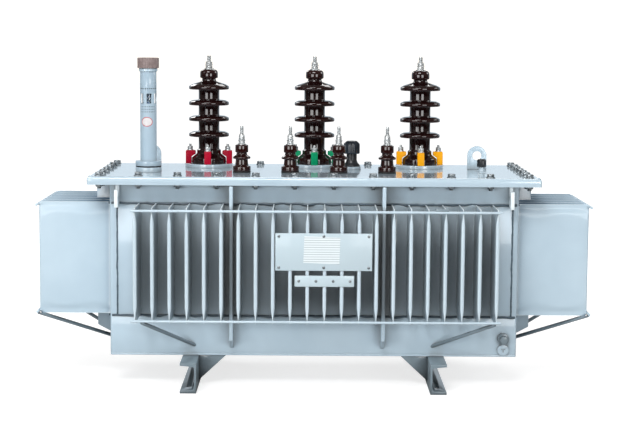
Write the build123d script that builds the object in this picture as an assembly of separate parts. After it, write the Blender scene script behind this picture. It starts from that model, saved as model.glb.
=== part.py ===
from build123d import *
import os

# Oil-filled power transformer with a corrugated tank. Millimetres.
# The origin is on the ground under the middle of the tank. X runs to the right along the
# tank, Y runs to the back, Z is up, and the face with the rating plate looks along -Y.

# Extra length of a cutting body beyond what it cuts
CUT_MARGIN = 1.0

# Tank shell
TANK_LENGTH = 1094.0
TANK_DEPTH = 384.0
TANK_HEIGHT = 468.0
TANK_SHEET = 4.0
FLOOR_THICKNESS = 6.0
TANK_CORNER_RADIUS = 6.0
LOWER_BAND_HEIGHT = 108.0
UPPER_BAND_HEIGHT = 57.0

# Feet, hot rolled channels 80 x 43
FOOT_HEIGHT = 80.0
FOOT_WIDTH = 43.0
FOOT_WEB = 5.0
FOOT_FLANGE_TIP = 6.0
FOOT_FLANGE_ROOT = 9.5
FOOT_ROOT_RADIUS = 7.0
FOOT_PROJECTION = 118.0
FOOT_GAUGE = 660.0
FOOT_HOLE_END_DISTANCE = 50.0
FOOT_HOLE_RADIUS = 7.0
GUSSET_WIDTH = 73.0
GUSSET_DROP = 68.0
GUSSET_THICKNESS = 6.0
GUSSET_INSET = 6.0

# Rim flange, gasket and cover
RIM_THICKNESS = 8.0
GASKET_THICKNESS = 4.0
COVER_END_OVERHANG = 54.0
COVER_SIDE_OVERHANG = 51.0
COVER_SHEET = 6.0
COVER_EDGE_DROP = 22.0
COVER_BEND_RADIUS = 8.0
RIM_TO_COVER_CLEARANCE = 2.0
GASKET_INSET = 3.0

# Corrugated walls
PANEL_THICKNESS = 3.0
FIN_PITCH = 45.0
FRONT_FIN_MARGIN = 70.0
FRONT_FIN_DEPTH = 130.0
FRONT_FINS_SHIFT = 5.0
LEFT_CORNER_RETURN = 20.0
RIGHT_CORNER_RETURN = 16.0
END_FIN_PITCH = 62.0
END_FIN_MARGIN = 30.0
END_FIN_DEPTH = 194.0
FIN_WIDTH = 10.0
FIN_EDGE_WIDTH = 3.0
FIN_TAPER = 52.0

# Rods welded across the fin tips, and the braces under them
ROD_RADIUS = 3.5
ROD_TOP_INSET = 7.0
ROD_BOTTOM_INSET = 6.0
FRONT_ROD_OVERHANG = 5.5
END_ROD_OVERHANG = 20.0
BRACE_RADIUS = 5.0
LEFT_BRACE_INSET = 18.5
RIGHT_BRACE_INSET = 4.5
LEFT_BRACE_RUN = 130.0
RIGHT_BRACE_RUN = 154.0
BRACE_WALL_HEIGHT = 27.0
END_BRACE_INSET = 15.0
END_BRACE_RUN = 130.0
END_BRACE_WALL_HEIGHT = 20.0

# Upright stiffeners, flat bars welded on edge to the walls between fins
RIB_THICKNESS = 10.0
RIB_PROJECTION = 3.0
RIB_BOTTOM_HEIGHT = 20.0
RIB_CHAMFER = 30.0
RIB_COVER_CLEARANCE = 2.0
RIB_LEFT_FIN_COUNT = 6
RIB_RIGHT_FIN_COUNT = 7

# Hooks for slinging the whole tank, at its four corners
HOOK_THICKNESS = 10.0
HOOK_END_DISTANCE = 22.0
HOOK_ROOT_HEIGHT = 53.0
HOOK_TIP_TOP = 18.0
HOOK_TIP_BOTTOM = 65.0
HOOK_THROAT_RADIUS = 11.0
HOOK_TIP_THICKNESS = 12.0

# Eyes on the cover
EYE_END_DISTANCE = 88.0
EYE_REAR_DISTANCE = 117.0
EYE_WIDTH = 54.0
EYE_THICKNESS = 10.0
EYE_HOLE_RADIUS = 13.0
EYE_HOLE_HEIGHT = 39.0

# High voltage bushings
HV_SPACING = 300.0
HV_REAR_DISTANCE = 72.0
HV_SEAT_RADIUS = 68.0
HV_SEAT_HEIGHT = 10.0
HV_BASE_RADIUS = 48.5
HV_BASE_HEIGHT = 18.0
HV_SHOULDER_RISE = 10.0
HV_COLLAR_RADIUS = 34.0
HV_COLLAR_HEIGHT = 12.0
HV_BARREL_RADIUS = 29.5
HV_FIRST_SHED_HEIGHT = 81.0
HV_SHED_PITCH = 44.5
HV_SHED_COUNT = 4
HV_SHED_RADIUS = 57.0
HV_SHED_DROP = 5.0
HV_SHED_LIP = 7.0
HV_SHED_RISE = 9.0
HV_TOP_SHED_RISE = 17.5
HV_NECK_LOWER_RADIUS = 21.0
HV_NECK_UPPER_RADIUS = 16.0
HV_HEAD_RADIUS = 25.5
HV_HEAD_BOTTOM = 242.0
HV_HEAD_HEIGHT = 24.5
HV_HEAD_CROWN = 9.0
HV_NUT_RADIUS = 12.0
HV_NUT_HEIGHT = 23.0
HV_STUD_RADIUS = 6.0
HV_STUD_RISE = 16.0

# Claw clamps that hold each high voltage bushing
CLAMP_OUTER_RADIUS = 66.0
CLAMP_LEG = 13.0
CLAMP_INNER_RADIUS = 38.0
CLAMP_HEIGHT = 37.0
CLAMP_WIDTH = 19.0
CLAMP_ROUNDING = 8.0
CLAMP_ARM = 11.0
CLAMP_ARCH_RISE = 7.0
CLAMP_NOSE_LENGTH = 6.0
CLAMP_CLEARANCE = 0.3

# Low voltage bushings
LV_SPACING = 132.5
LV_COUNT = 4
LV_FRONT_DISTANCE = 117.0
LV_GASKET = 4.0
LV_BASE_RADIUS = 24.5
LV_BASE_HEIGHT = 14.0
LV_WAIST_LOWER_RADIUS = 16.5
LV_WAIST_UPPER_RADIUS = 14.5
LV_SHED_RADIUS = 24.0
LV_SHED_HEIGHT = 38.0
LV_SHED_DROP = 4.0
LV_SHED_LIP = 4.0
LV_SHED_RISE = 8.0
LV_HEAD_RADIUS = 17.5
LV_HEAD_BOTTOM = 51.0
LV_HEAD_HEIGHT = 21.0
LV_CONE_RADIUS = 10.0
LV_CONE_HEIGHT = 21.0
LV_NUT_RADIUS = 8.0
LV_NUT_HEIGHT = 9.0
LV_STUD_RADIUS = 5.0
LV_STUD_RISE = 21.0

# Tap changer
TAP_X = 105.0
TAP_REAR_DISTANCE = 137.0
TAP_RING_RADIUS = 26.0
TAP_RING_HEIGHT = 8.0
TAP_BASE_RADIUS = 23.5
TAP_BASE_LIP = 3.0
TAP_FLARE_HEIGHT = 15.0
TAP_NECK_RADIUS = 14.5
TAP_NECK_HEIGHT = 36.0
TAP_PIN_RADIUS = 8.0
TAP_PIN_LENGTH = 16.0
TAP_PIN_CLEARANCE = 0.1
TAP_KNOB_SEAT_GAP = 0.3
TAP_KNOB_RADIUS = 23.3
TAP_KNOB_HEIGHT = 37.0
TAP_KNOB_CROWN = 6.0
TAP_KNOB_NOTCH_COUNT = 8
TAP_NOTCH_SIDE = 5.0

# Oil level tube
OIL_END_DISTANCE = 93.0
OIL_FRONT_DISTANCE = 122.0
OIL_FLANGE_RADIUS = 35.5
OIL_SEAT_HEIGHT = 13.0
OIL_GASKET_HEIGHT = 4.0
OIL_GASKET_INSET = 1.0
OIL_FLANGE_HEIGHT = 13.0
OIL_TUBE_RADIUS = 22.5
OIL_TUBE_WALL = 3.0
OIL_TUBE_LENGTH = 243.0
OIL_WINDOW_BOTTOM = 156.5
OIL_WINDOW_HEIGHT = 27.0
OIL_STRUT_COUNT = 6
OIL_STRUT_WIDTH = 9.0
OIL_STRUT_TURN = 11.0
OIL_GLASS_RADIUS = 14.0
OIL_GLASS_WALL = 2.0
OIL_GLASS_END = 10.0
OIL_COLLAR_RADIUS = 25.3
OIL_COLLAR_HEIGHT = 9.5
OIL_CAP_RADIUS = 29.3
OIL_CAP_HEIGHT = 28.0
OIL_CAP_CHAMFER = 2.0

# Filler stub
FILLER_END_DISTANCE = 87.0
FILLER_FRONT_DISTANCE = 142.0
FILLER_RADIUS = 8.3
FILLER_HEIGHT = 17.0
FILLER_CAP_RADIUS = 13.0
FILLER_CAP_HEIGHT = 21.5
FILLER_CAP_CHAMFER = 3.0

# Drain cock low on the front wall
DRAIN_END_DISTANCE = 36.0
DRAIN_HEIGHT = 50.0
DRAIN_BOSS_RADIUS = 15.5
DRAIN_BOSS_LENGTH = 14.0
DRAIN_PLUG_RADIUS = 11.0
DRAIN_PLUG_LENGTH = 12.0
DRAIN_DISC_RADIUS = 15.0
DRAIN_DISC_DROP = 30.5
DRAIN_DISC_THICKNESS = 9.0
DRAIN_SHOULDER_RATIO = 0.7
DRAIN_NECK_WIDTH = 8.0

# Plates fixed on the front fins
RATING_PLATE_LENGTH = 252.0
RATING_PLATE_HEIGHT = 98.0
RATING_PLATE_X = 25.0
RATING_PLATE_Z = 379.0
PLATE_THICKNESS = 1.5
STRIP_PLATE_LENGTH = 155.0
STRIP_PLATE_HEIGHT = 29.0
STRIP_PLATE_X = 27.0
STRIP_PLATE_Z = 302.5

# Levels and faces worked out from the sizes above
TANK_BOTTOM = FOOT_HEIGHT
FLOOR_TOP = TANK_BOTTOM + FLOOR_THICKNESS
PANEL_BOTTOM = TANK_BOTTOM + LOWER_BAND_HEIGHT
RIM_BOTTOM = TANK_BOTTOM + TANK_HEIGHT
PANEL_TOP = RIM_BOTTOM - UPPER_BAND_HEIGHT
RIM_TOP = RIM_BOTTOM + RIM_THICKNESS
GASKET_TOP = RIM_TOP + GASKET_THICKNESS
COVER_TOP = GASKET_TOP + COVER_SHEET
COVER_EDGE_BOTTOM = COVER_TOP - COVER_EDGE_DROP
WALL_X = TANK_LENGTH / 2
WALL_Y = TANK_DEPTH / 2
COVER_LENGTH = TANK_LENGTH + 2 * COVER_END_OVERHANG
COVER_DEPTH = TANK_DEPTH + 2 * COVER_SIDE_OVERHANG
RIM_LENGTH = COVER_LENGTH - 2 * (COVER_SHEET + RIM_TO_COVER_CLEARANCE)
RIM_DEPTH = COVER_DEPTH - 2 * (COVER_SHEET + RIM_TO_COVER_CLEARANCE)
RIM_END_OVERHANG = COVER_END_OVERHANG - COVER_SHEET - RIM_TO_COVER_CLEARANCE
RIM_SIDE_OVERHANG = COVER_SIDE_OVERHANG - COVER_SHEET - RIM_TO_COVER_CLEARANCE
RIB_DEPTH = COVER_END_OVERHANG + RIB_PROJECTION
FRONT_FIN_COUNT = int((TANK_LENGTH - 2 * FRONT_FIN_MARGIN) // FIN_PITCH) + 1
END_FIN_COUNT = int((TANK_DEPTH - 2 * END_FIN_MARGIN) // END_FIN_PITCH) + 1
FRONT_TIP_Y = WALL_Y + FRONT_FIN_DEPTH
END_TIP_X = WALL_X + END_FIN_DEPTH
FOOT_LENGTH = TANK_DEPTH + 2 * FOOT_PROJECTION
FOOT_HOLE_Y = FOOT_LENGTH / 2 - FOOT_HOLE_END_DISTANCE
GUSSET_Y = WALL_Y - GUSSET_INSET
HOOK_X = WALL_X - HOOK_END_DISTANCE
EYE_X = WALL_X - EYE_END_DISTANCE
EYE_Y = WALL_Y - EYE_REAR_DISTANCE
HV_Y = WALL_Y - HV_REAR_DISTANCE
LV_Y = LV_FRONT_DISTANCE - WALL_Y
TAP_Y = WALL_Y - TAP_REAR_DISTANCE
OIL_X = OIL_END_DISTANCE - WALL_X
OIL_Y = OIL_FRONT_DISTANCE - WALL_Y
FILLER_X = WALL_X - FILLER_END_DISTANCE
FILLER_Y = FILLER_FRONT_DISTANCE - WALL_Y
DRAIN_X = WALL_X - DRAIN_END_DISTANCE
ROD_TOP_Z = PANEL_TOP - ROD_TOP_INSET
ROD_BOTTOM_Z = PANEL_BOTTOM + ROD_BOTTOM_INSET
ROD_UNDERSIDE = ROD_BOTTOM_Z - ROD_RADIUS
SEAT_TOP = COVER_TOP + HV_SEAT_HEIGHT
LV_BOTTOM = COVER_TOP + LV_GASKET


def block(x0, x1, y0, y1, z0, z1):
    """A straight-sided block between two corners."""
    size = (x1 - x0, y1 - y0, z1 - z0)
    return Pos((x0 + x1) / 2, (y0 + y1) / 2, (z0 + z1) / 2) * Box(*size)


def disc(radius, z0, z1, x=0.0, y=0.0):
    """An upright cylinder between two levels."""
    return Pos(x, y, (z0 + z1) / 2) * Cylinder(radius, z1 - z0)


def turned(points):
    """A body turned about Z from an outline of (radius, height) points, starting and ending on the axis."""
    outline = make_face(Polyline([(r, 0, z) for r, z in points], close=True))
    return revolve(outline, Axis.Z)


def tank_prism(inset, z0, z1):
    """The plan of the tank, drawn in by an inset and raised between two levels."""
    plan = RectangleRounded(TANK_LENGTH - 2 * inset, TANK_DEPTH - 2 * inset, TANK_CORNER_RADIUS - inset)
    return extrude(Pos(0, 0, z0) * plan, z1 - z0)


def ring_wall(z0, z1, sheet):
    """A band of sheet all the way round the tank, with rounded upright corners."""
    return tank_prism(0, z0, z1) - tank_prism(sheet, z0, z1)


def save(shape, node):
    """Write one node."""
    export_step(shape, f"parts/{node}.step")


def save_all(shapes, node):
    """Write like solids that share a node."""
    export_step(Compound(children=list(shapes)), f"parts/{node}.step")


# Tank floor and the two plain bands of the shell


def tank_floor():
    return tank_prism(0, TANK_BOTTOM, FLOOR_TOP)


def tank_lower_band():
    return ring_wall(FLOOR_TOP, PANEL_BOTTOM, TANK_SHEET)


def tank_upper_band():
    """The upper band with the bolting flange welded round its top."""
    band = ring_wall(PANEL_TOP, RIM_BOTTOM, TANK_SHEET)
    flange = block(-RIM_LENGTH / 2, RIM_LENGTH / 2, -RIM_DEPTH / 2, RIM_DEPTH / 2, RIM_BOTTOM, RIM_TOP)
    return band + (flange - tank_prism(TANK_SHEET, RIM_BOTTOM, RIM_TOP))


# Cover


def cover_gasket():
    length = RIM_LENGTH - 2 * GASKET_INSET
    depth = RIM_DEPTH - 2 * GASKET_INSET
    outer = block(-length / 2, length / 2, -depth / 2, depth / 2, RIM_TOP, GASKET_TOP)
    return outer - tank_prism(TANK_SHEET, RIM_TOP, GASKET_TOP)


def cover():
    """A sheet with its edges turned down over the rim flange."""
    body = block(
        -COVER_LENGTH / 2, COVER_LENGTH / 2, -COVER_DEPTH / 2, COVER_DEPTH / 2, COVER_EDGE_BOTTOM, COVER_TOP
    )
    body = fillet(body.faces().sort_by(Axis.Z)[-1].edges(), COVER_BEND_RADIUS)
    inside_x = COVER_LENGTH / 2 - COVER_SHEET
    inside_y = COVER_DEPTH / 2 - COVER_SHEET
    return body - block(-inside_x, inside_x, -inside_y, inside_y, COVER_EDGE_BOTTOM, GASKET_TOP)


# Corrugated walls


def fin(depth):
    """One fin, standing on the plane X = 0 and reaching to X = depth, with ends pressed thin."""
    half = FIN_WIDTH / 2
    edge = FIN_EDGE_WIDTH / 2
    low = PANEL_BOTTOM
    high = PANEL_TOP
    outline = (
        Line((edge, low), (-edge, low))
        + TangentArc((-half, low + FIN_TAPER), (-edge, low), tangent=(0, -1), tangent_from_first=True)
        + Line((-half, low + FIN_TAPER), (-half, high - FIN_TAPER))
        + TangentArc((-half, high - FIN_TAPER), (-edge, high), tangent=(0, 1))
        + Line((-edge, high), (edge, high))
        + TangentArc((half, high - FIN_TAPER), (edge, high), tangent=(0, 1))
        + Line((half, high - FIN_TAPER), (half, low + FIN_TAPER))
        + TangentArc((half, low + FIN_TAPER), (edge, low), tangent=(0, -1))
    )
    return extrude(Plane.YZ * make_face(outline), depth)


def fin_places(count, pitch, shift=0.0):
    """Centres of a row of fins."""
    return [(i - (count - 1) / 2) * pitch + shift for i in range(count)]


FRONT_FIN_X = fin_places(FRONT_FIN_COUNT, FIN_PITCH, FRONT_FINS_SHIFT)
END_FIN_Y = fin_places(END_FIN_COUNT, END_FIN_PITCH)


def front_corrugated_wall():
    """A flat sheet between the two corner seams, with its row of fins towards -Y."""
    left = -WALL_X + LEFT_CORNER_RETURN
    right = WALL_X - RIGHT_CORNER_RETURN
    sheet = block(left, right, -WALL_Y, -WALL_Y + PANEL_THICKNESS, PANEL_BOTTOM, PANEL_TOP)
    one = Rot(0, 0, -90) * fin(FRONT_FIN_DEPTH)
    return sheet + [Pos(x, -WALL_Y, 0) * one for x in FRONT_FIN_X]


def rear_corrugated_wall():
    return mirror(front_corrugated_wall(), Plane.XZ)


def end_corrugated_wall(corner_return):
    """A sheet facing +X that bends round both corners up to the seams, with its row of fins."""
    start_x = WALL_X - corner_return
    shell = ring_wall(PANEL_BOTTOM, PANEL_TOP, PANEL_THICKNESS)
    sheet = shell & block(start_x, WALL_X, -WALL_Y, WALL_Y, PANEL_BOTTOM, PANEL_TOP)
    one = fin(END_FIN_DEPTH)
    return sheet + [Pos(WALL_X, y, 0) * one for y in END_FIN_Y]


def right_corrugated_wall():
    return end_corrugated_wall(RIGHT_CORNER_RETURN)


def left_corrugated_wall():
    return mirror(end_corrugated_wall(LEFT_CORNER_RETURN), Plane.YZ)


# Rods and braces


def bar(start, end, radius):
    """A round bar between two points."""
    a = Vector(*start)
    b = Vector(*end)
    direction = b - a
    plane = Plane(origin=a, z_dir=direction)
    return extrude(plane * Circle(radius), direction.length)


def fin_rods():
    """Four rods across the tips of the front and rear fins."""
    half = (FRONT_FIN_COUNT - 1) / 2 * FIN_PITCH + FIN_WIDTH / 2 + FRONT_ROD_OVERHANG
    rods = []
    for side in (-1, 1):
        y = side * (FRONT_TIP_Y + ROD_RADIUS)
        for z in (ROD_BOTTOM_Z, ROD_TOP_Z):
            rods.append(bar((FRONT_FINS_SHIFT - half, y, z), (FRONT_FINS_SHIFT + half, y, z), ROD_RADIUS))
    return rods


END_ROD_HALF = (END_FIN_COUNT - 1) / 2 * END_FIN_PITCH + FIN_WIDTH / 2 + END_ROD_OVERHANG


def end_fin_rods():
    """Four rods across the tips of the fins on the two ends."""
    rods = []
    for side in (-1, 1):
        x = side * (END_TIP_X + ROD_RADIUS)
        for z in (ROD_BOTTOM_Z, ROD_TOP_Z):
            rods.append(bar((x, -END_ROD_HALF, z), (x, END_ROD_HALF, z), ROD_RADIUS))
    return rods


def brace(rod_point, wall_point, room):
    """A round bar from a rod to the wall, cut off level under the rod and flush with the wall."""
    return bar(rod_point, wall_point, BRACE_RADIUS) & room


def fin_braces():
    """Braces under the front and rear rods, one near each end."""
    wall_z = TANK_BOTTOM + BRACE_WALL_HEIGHT
    room = block(-WALL_X, WALL_X, -FRONT_TIP_Y, -WALL_Y, TANK_BOTTOM, PANEL_BOTTOM)
    room += block(-WALL_X, WALL_X, -FRONT_TIP_Y - 2 * ROD_RADIUS, -FRONT_TIP_Y, TANK_BOTTOM, ROD_UNDERSIDE)
    bars = []
    left_x = FRONT_FIN_X[0] + LEFT_BRACE_INSET
    right_x = FRONT_FIN_X[-1] - RIGHT_BRACE_INSET
    for rod_x, run in ((left_x, LEFT_BRACE_RUN), (right_x, -RIGHT_BRACE_RUN)):
        rod_point = (rod_x, -FRONT_TIP_Y - ROD_RADIUS, ROD_UNDERSIDE)
        wall_point = (rod_x + run, -WALL_Y + TANK_SHEET, wall_z)
        one = brace(rod_point, wall_point, room)
        bars += [one, mirror(one, Plane.XZ)]
    return bars


def end_braces():
    """Braces under the rods on the two ends, one near each corner."""
    wall_z = TANK_BOTTOM + END_BRACE_WALL_HEIGHT
    room = block(WALL_X, END_TIP_X, -WALL_Y, WALL_Y, TANK_BOTTOM, PANEL_BOTTOM)
    room += block(END_TIP_X, END_TIP_X + 2 * ROD_RADIUS, -WALL_Y, WALL_Y, TANK_BOTTOM, ROD_UNDERSIDE)
    rod_y = END_ROD_HALF - END_BRACE_INSET
    rod_point = (END_TIP_X + ROD_RADIUS, rod_y, ROD_UNDERSIDE)
    wall_point = (WALL_X - TANK_SHEET, rod_y - END_BRACE_RUN, wall_z)
    one = brace(rod_point, wall_point, room)
    pair = [one, mirror(one, Plane.XZ)]
    return pair + [mirror(each, Plane.YZ) for each in pair]


# Stiffeners


def stiffener(rim_overhang):
    """One bar on edge against the plane X = 0, notched under the cover and cut back below."""
    low = TANK_BOTTOM + RIB_BOTTOM_HEIGHT
    notch_x = rim_overhang - RIB_COVER_CLEARANCE
    notch_z = COVER_EDGE_BOTTOM - RIB_COVER_CLEARANCE
    side = Polyline(
        [
            (0, 0, low),
            (0, 0, RIM_BOTTOM),
            (notch_x, 0, RIM_BOTTOM),
            (notch_x, 0, notch_z),
            (RIB_DEPTH, 0, notch_z),
            (RIB_DEPTH, 0, low + RIB_CHAMFER),
        ],
        close=True,
    )
    return extrude(make_face(side), RIB_THICKNESS / 2, both=True)


def gap_after(fin_number):
    """Middle of the space after the fin with this number, counted from the left."""
    return (FRONT_FIN_X[fin_number - 1] + FRONT_FIN_X[fin_number]) / 2


def front_stiffeners():
    one = Rot(0, 0, -90) * stiffener(RIM_SIDE_OVERHANG)
    left_x = gap_after(RIB_LEFT_FIN_COUNT)
    right_x = gap_after(FRONT_FIN_COUNT - RIB_RIGHT_FIN_COUNT)
    return [Pos(left_x, -WALL_Y, 0) * one, Pos(right_x, -WALL_Y, 0) * one]


def rear_stiffeners():
    return [mirror(each, Plane.XZ) for each in front_stiffeners()]


def end_stiffeners():
    """One on each end, in the middle space of the row of fins."""
    middle = END_FIN_COUNT // 2
    gap_y = (END_FIN_Y[middle - 1] + END_FIN_Y[middle]) / 2
    right = Pos(WALL_X, gap_y, 0) * stiffener(RIM_END_OVERHANG)
    return [right, mirror(right, Plane.YZ)]


# Feet


def foot():
    """A channel along Y with its web on X = 0 and its flanges towards +X."""
    h = FOOT_HEIGHT
    profile = Polyline(
        [
            (0, 0, 0),
            (FOOT_WIDTH, 0, 0),
            (FOOT_WIDTH, 0, FOOT_FLANGE_TIP),
            (FOOT_WEB, 0, FOOT_FLANGE_ROOT),
            (FOOT_WEB, 0, h - FOOT_FLANGE_ROOT),
            (FOOT_WIDTH, 0, h - FOOT_FLANGE_TIP),
            (FOOT_WIDTH, 0, h),
            (0, 0, h),
        ],
        close=True,
    )
    channel = extrude(make_face(profile), FOOT_LENGTH / 2, both=True)
    roots = [e for e in channel.edges().filter_by(Axis.Y) if abs(e.center().X - FOOT_WEB) < FOOT_WEB / 2]
    channel = fillet(roots, FOOT_ROOT_RADIUS)
    for y in (-FOOT_HOLE_Y, FOOT_HOLE_Y):
        channel -= disc(FOOT_HOLE_RADIUS, -CUT_MARGIN, FOOT_FLANGE_ROOT + CUT_MARGIN, FOOT_WIDTH / 2, y)
    return channel


FOOT_WEB_X = FOOT_GAUGE / 2 - FOOT_WIDTH / 2


def right_foot():
    return Pos(FOOT_WEB_X, 0, 0) * foot()


def left_foot():
    return mirror(right_foot(), Plane.YZ)


def foot_gussets():
    """Corner plates between the webs of the feet and the tank floor."""
    plate = make_face(
        Polyline(
            [
                (FOOT_WEB_X, 0, TANK_BOTTOM),
                (FOOT_WEB_X - GUSSET_WIDTH, 0, TANK_BOTTOM),
                (FOOT_WEB_X, 0, TANK_BOTTOM - GUSSET_DROP),
            ],
            close=True,
        )
    )
    one = extrude(plate, GUSSET_THICKNESS / 2, both=True)
    plates = []
    for y in (-GUSSET_Y, GUSSET_Y):
        plates.append(Pos(0, y, 0) * one)
        plates.append(mirror(Pos(0, y, 0) * one, Plane.YZ))
    return plates


# Lifting points


def tank_hook():
    """A hook plate on the plane X = 0, across Y = 0, with its throat open upwards."""
    reach = RIM_SIDE_OVERHANG
    root_low = RIM_BOTTOM - HOOK_ROOT_HEIGHT
    tip_low = RIM_BOTTOM - HOOK_TIP_BOTTOM
    tip_high = RIM_BOTTOM - HOOK_TIP_TOP
    tip_x = reach - HOOK_TIP_THICKNESS
    root_x = tip_x - 2 * HOOK_THROAT_RADIUS
    throat_z = tip_high - HOOK_THROAT_RADIUS
    outline = Polyline(
        [
            (0, 0, root_low),
            (0, 0, RIM_BOTTOM),
            (root_x, 0, RIM_BOTTOM),
            (root_x, 0, throat_z),
            (tip_x, 0, throat_z),
            (tip_x, 0, tip_high),
            (reach, 0, tip_high),
            (reach, 0, tip_low),
            (root_x, 0, tip_low),
        ],
        close=True,
    )
    plate = extrude(make_face(outline), HOOK_THICKNESS / 2, both=True)
    throat = Pos(root_x + HOOK_THROAT_RADIUS, 0, throat_z) * Rot(90, 0, 0)
    return plate - throat * Cylinder(HOOK_THROAT_RADIUS, HOOK_THICKNESS + 2 * CUT_MARGIN)


def tank_lifting_hooks():
    one = Rot(0, 0, -90) * tank_hook()
    front = [Pos(x, -WALL_Y, 0) * one for x in (-HOOK_X, HOOK_X)]
    return front + [mirror(each, Plane.XZ) for each in front]


def cover_lifting_eyes():
    """Two round-topped eye plates on the cover."""
    centre_z = COVER_TOP + EYE_HOLE_HEIGHT
    half = EYE_WIDTH / 2
    eyes = []
    for x in (-EYE_X, EYE_X):
        front_y = EYE_Y - EYE_THICKNESS / 2
        body = block(x - half, x + half, front_y, front_y + EYE_THICKNESS, COVER_TOP, centre_z)
        body += Pos(x, EYE_Y, centre_z) * Rot(90, 0, 0) * Cylinder(half, EYE_THICKNESS)
        body -= Pos(x, EYE_Y, centre_z) * Rot(90, 0, 0) * Cylinder(EYE_HOLE_RADIUS, EYE_THICKNESS + 2 * CUT_MARGIN)
        eyes.append(body)
    return eyes


# High voltage bushings


def hv_x():
    return [-HV_SPACING, 0.0, HV_SPACING]


def hv_bushing():
    """The porcelain: base, shoulder, collar, barrel with flat-bottomed sheds, neck and crowned head."""
    z = SEAT_TOP
    shoulder = z + HV_BASE_HEIGHT + HV_SHOULDER_RISE
    collar_top = shoulder + HV_COLLAR_HEIGHT
    points = [
        (0, z),
        (HV_BASE_RADIUS, z),
        (HV_BASE_RADIUS, z + HV_BASE_HEIGHT),
        (HV_COLLAR_RADIUS, shoulder),
        (HV_COLLAR_RADIUS, collar_top),
        (HV_BARREL_RADIUS, collar_top),
    ]
    for i in range(HV_SHED_COUNT):
        rim = z + HV_FIRST_SHED_HEIGHT + i * HV_SHED_PITCH
        under = rim - HV_SHED_DROP
        points += [
            (HV_BARREL_RADIUS, under),
            (HV_SHED_RADIUS, under),
            (HV_SHED_RADIUS, under + HV_SHED_LIP),
            (HV_BARREL_RADIUS, rim + HV_SHED_RISE),
        ]
    points[-1] = (HV_NECK_LOWER_RADIUS, rim + HV_TOP_SHED_RISE)
    head = z + HV_HEAD_BOTTOM
    head_top = head + HV_HEAD_HEIGHT
    points += [
        (HV_NECK_UPPER_RADIUS, head),
        (HV_HEAD_RADIUS, head),
        (HV_HEAD_RADIUS, head_top - HV_HEAD_CROWN),
        (HV_HEAD_RADIUS - HV_HEAD_CROWN, head_top),
        (0, head_top),
    ]
    return turned(points)


def hv_terminal():
    """Stud and nuts on top of one high voltage bushing."""
    z = SEAT_TOP + HV_HEAD_BOTTOM + HV_HEAD_HEIGHT
    nuts = extrude(Pos(0, 0, z) * RegularPolygon(HV_NUT_RADIUS, 6), HV_NUT_HEIGHT)
    return nuts + disc(HV_STUD_RADIUS, z + HV_NUT_HEIGHT, z + HV_NUT_HEIGHT + HV_STUD_RISE)


def hv_clamp():
    """One claw: a leg on the seat, an arch over the base and a nose that bears on the shoulder."""
    z = SEAT_TOP
    top = z + CLAMP_HEIGHT
    leg_x = CLAMP_OUTER_RADIUS - CLAMP_LEG
    arm_z = top - CLAMP_ARM
    nose_x = CLAMP_INNER_RADIUS + CLAMP_NOSE_LENGTH
    slope = HV_SHOULDER_RISE / (HV_BASE_RADIUS - HV_COLLAR_RADIUS)
    base_z = z + HV_BASE_HEIGHT + CLAMP_CLEARANCE
    tip_z = base_z + slope * (HV_BASE_RADIUS - CLAMP_INNER_RADIUS)
    nose_z = base_z + slope * (HV_BASE_RADIUS - nose_x)
    arch_x = leg_x - CLAMP_ARCH_RISE
    arch_z = arm_z - CLAMP_ARCH_RISE
    outline = (
        Line((CLAMP_OUTER_RADIUS, z), (CLAMP_OUTER_RADIUS, top))
        + Line((CLAMP_OUTER_RADIUS, top), (CLAMP_INNER_RADIUS, top))
        + Line((CLAMP_INNER_RADIUS, top), (CLAMP_INNER_RADIUS, tip_z))
        + Line((CLAMP_INNER_RADIUS, tip_z), (nose_x, nose_z))
        + Line((nose_x, nose_z), (arch_x, arm_z))
        + TangentArc((arch_x, arm_z), (leg_x, arch_z), tangent=(1, 0))
        + Line((leg_x, arch_z), (leg_x, z))
        + Line((leg_x, z), (CLAMP_OUTER_RADIUS, z))
    )
    claw = extrude(Plane.XZ * make_face(outline), CLAMP_WIDTH / 2, both=True)
    return fillet(claw.edges().filter_by(Axis.Z).sort_by(Axis.X)[-2:], CLAMP_ROUNDING)


def hv_clamps(x):
    one = hv_clamp()
    return [Pos(x, HV_Y, 0) * Rot(0, 0, turn) * one for turn in (0, 90, 180, 270)]


# Low voltage bushings


def lv_places():
    return [((i - (LV_COUNT - 1) / 2) * LV_SPACING, LV_Y) for i in range(LV_COUNT)]


def lv_bushing():
    z = LV_BOTTOM
    shed = z + LV_SHED_HEIGHT
    head = z + LV_HEAD_BOTTOM
    return turned(
        [
            (0, z),
            (LV_BASE_RADIUS, z),
            (LV_BASE_RADIUS, z + LV_BASE_HEIGHT),
            (LV_WAIST_LOWER_RADIUS, z + LV_BASE_HEIGHT),
            (LV_WAIST_UPPER_RADIUS, shed - LV_SHED_DROP),
            (LV_SHED_RADIUS, shed - LV_SHED_DROP),
            (LV_SHED_RADIUS, shed - LV_SHED_DROP + LV_SHED_LIP),
            (LV_WAIST_UPPER_RADIUS, shed + LV_SHED_RISE),
            (LV_WAIST_UPPER_RADIUS, head),
            (LV_HEAD_RADIUS, head),
            (LV_HEAD_RADIUS, head + LV_HEAD_HEIGHT),
            (0, head + LV_HEAD_HEIGHT),
        ]
    )


def lv_terminal():
    z = LV_BOTTOM + LV_HEAD_BOTTOM + LV_HEAD_HEIGHT
    cone = disc(LV_CONE_RADIUS, z, z + LV_CONE_HEIGHT)
    nut_z = z + LV_CONE_HEIGHT
    nut = extrude(Pos(0, 0, nut_z) * RegularPolygon(LV_NUT_RADIUS, 6), LV_NUT_HEIGHT)
    return cone + nut + disc(LV_STUD_RADIUS, nut_z + LV_NUT_HEIGHT, nut_z + LV_NUT_HEIGHT + LV_STUD_RISE)


# Tap changer


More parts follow.
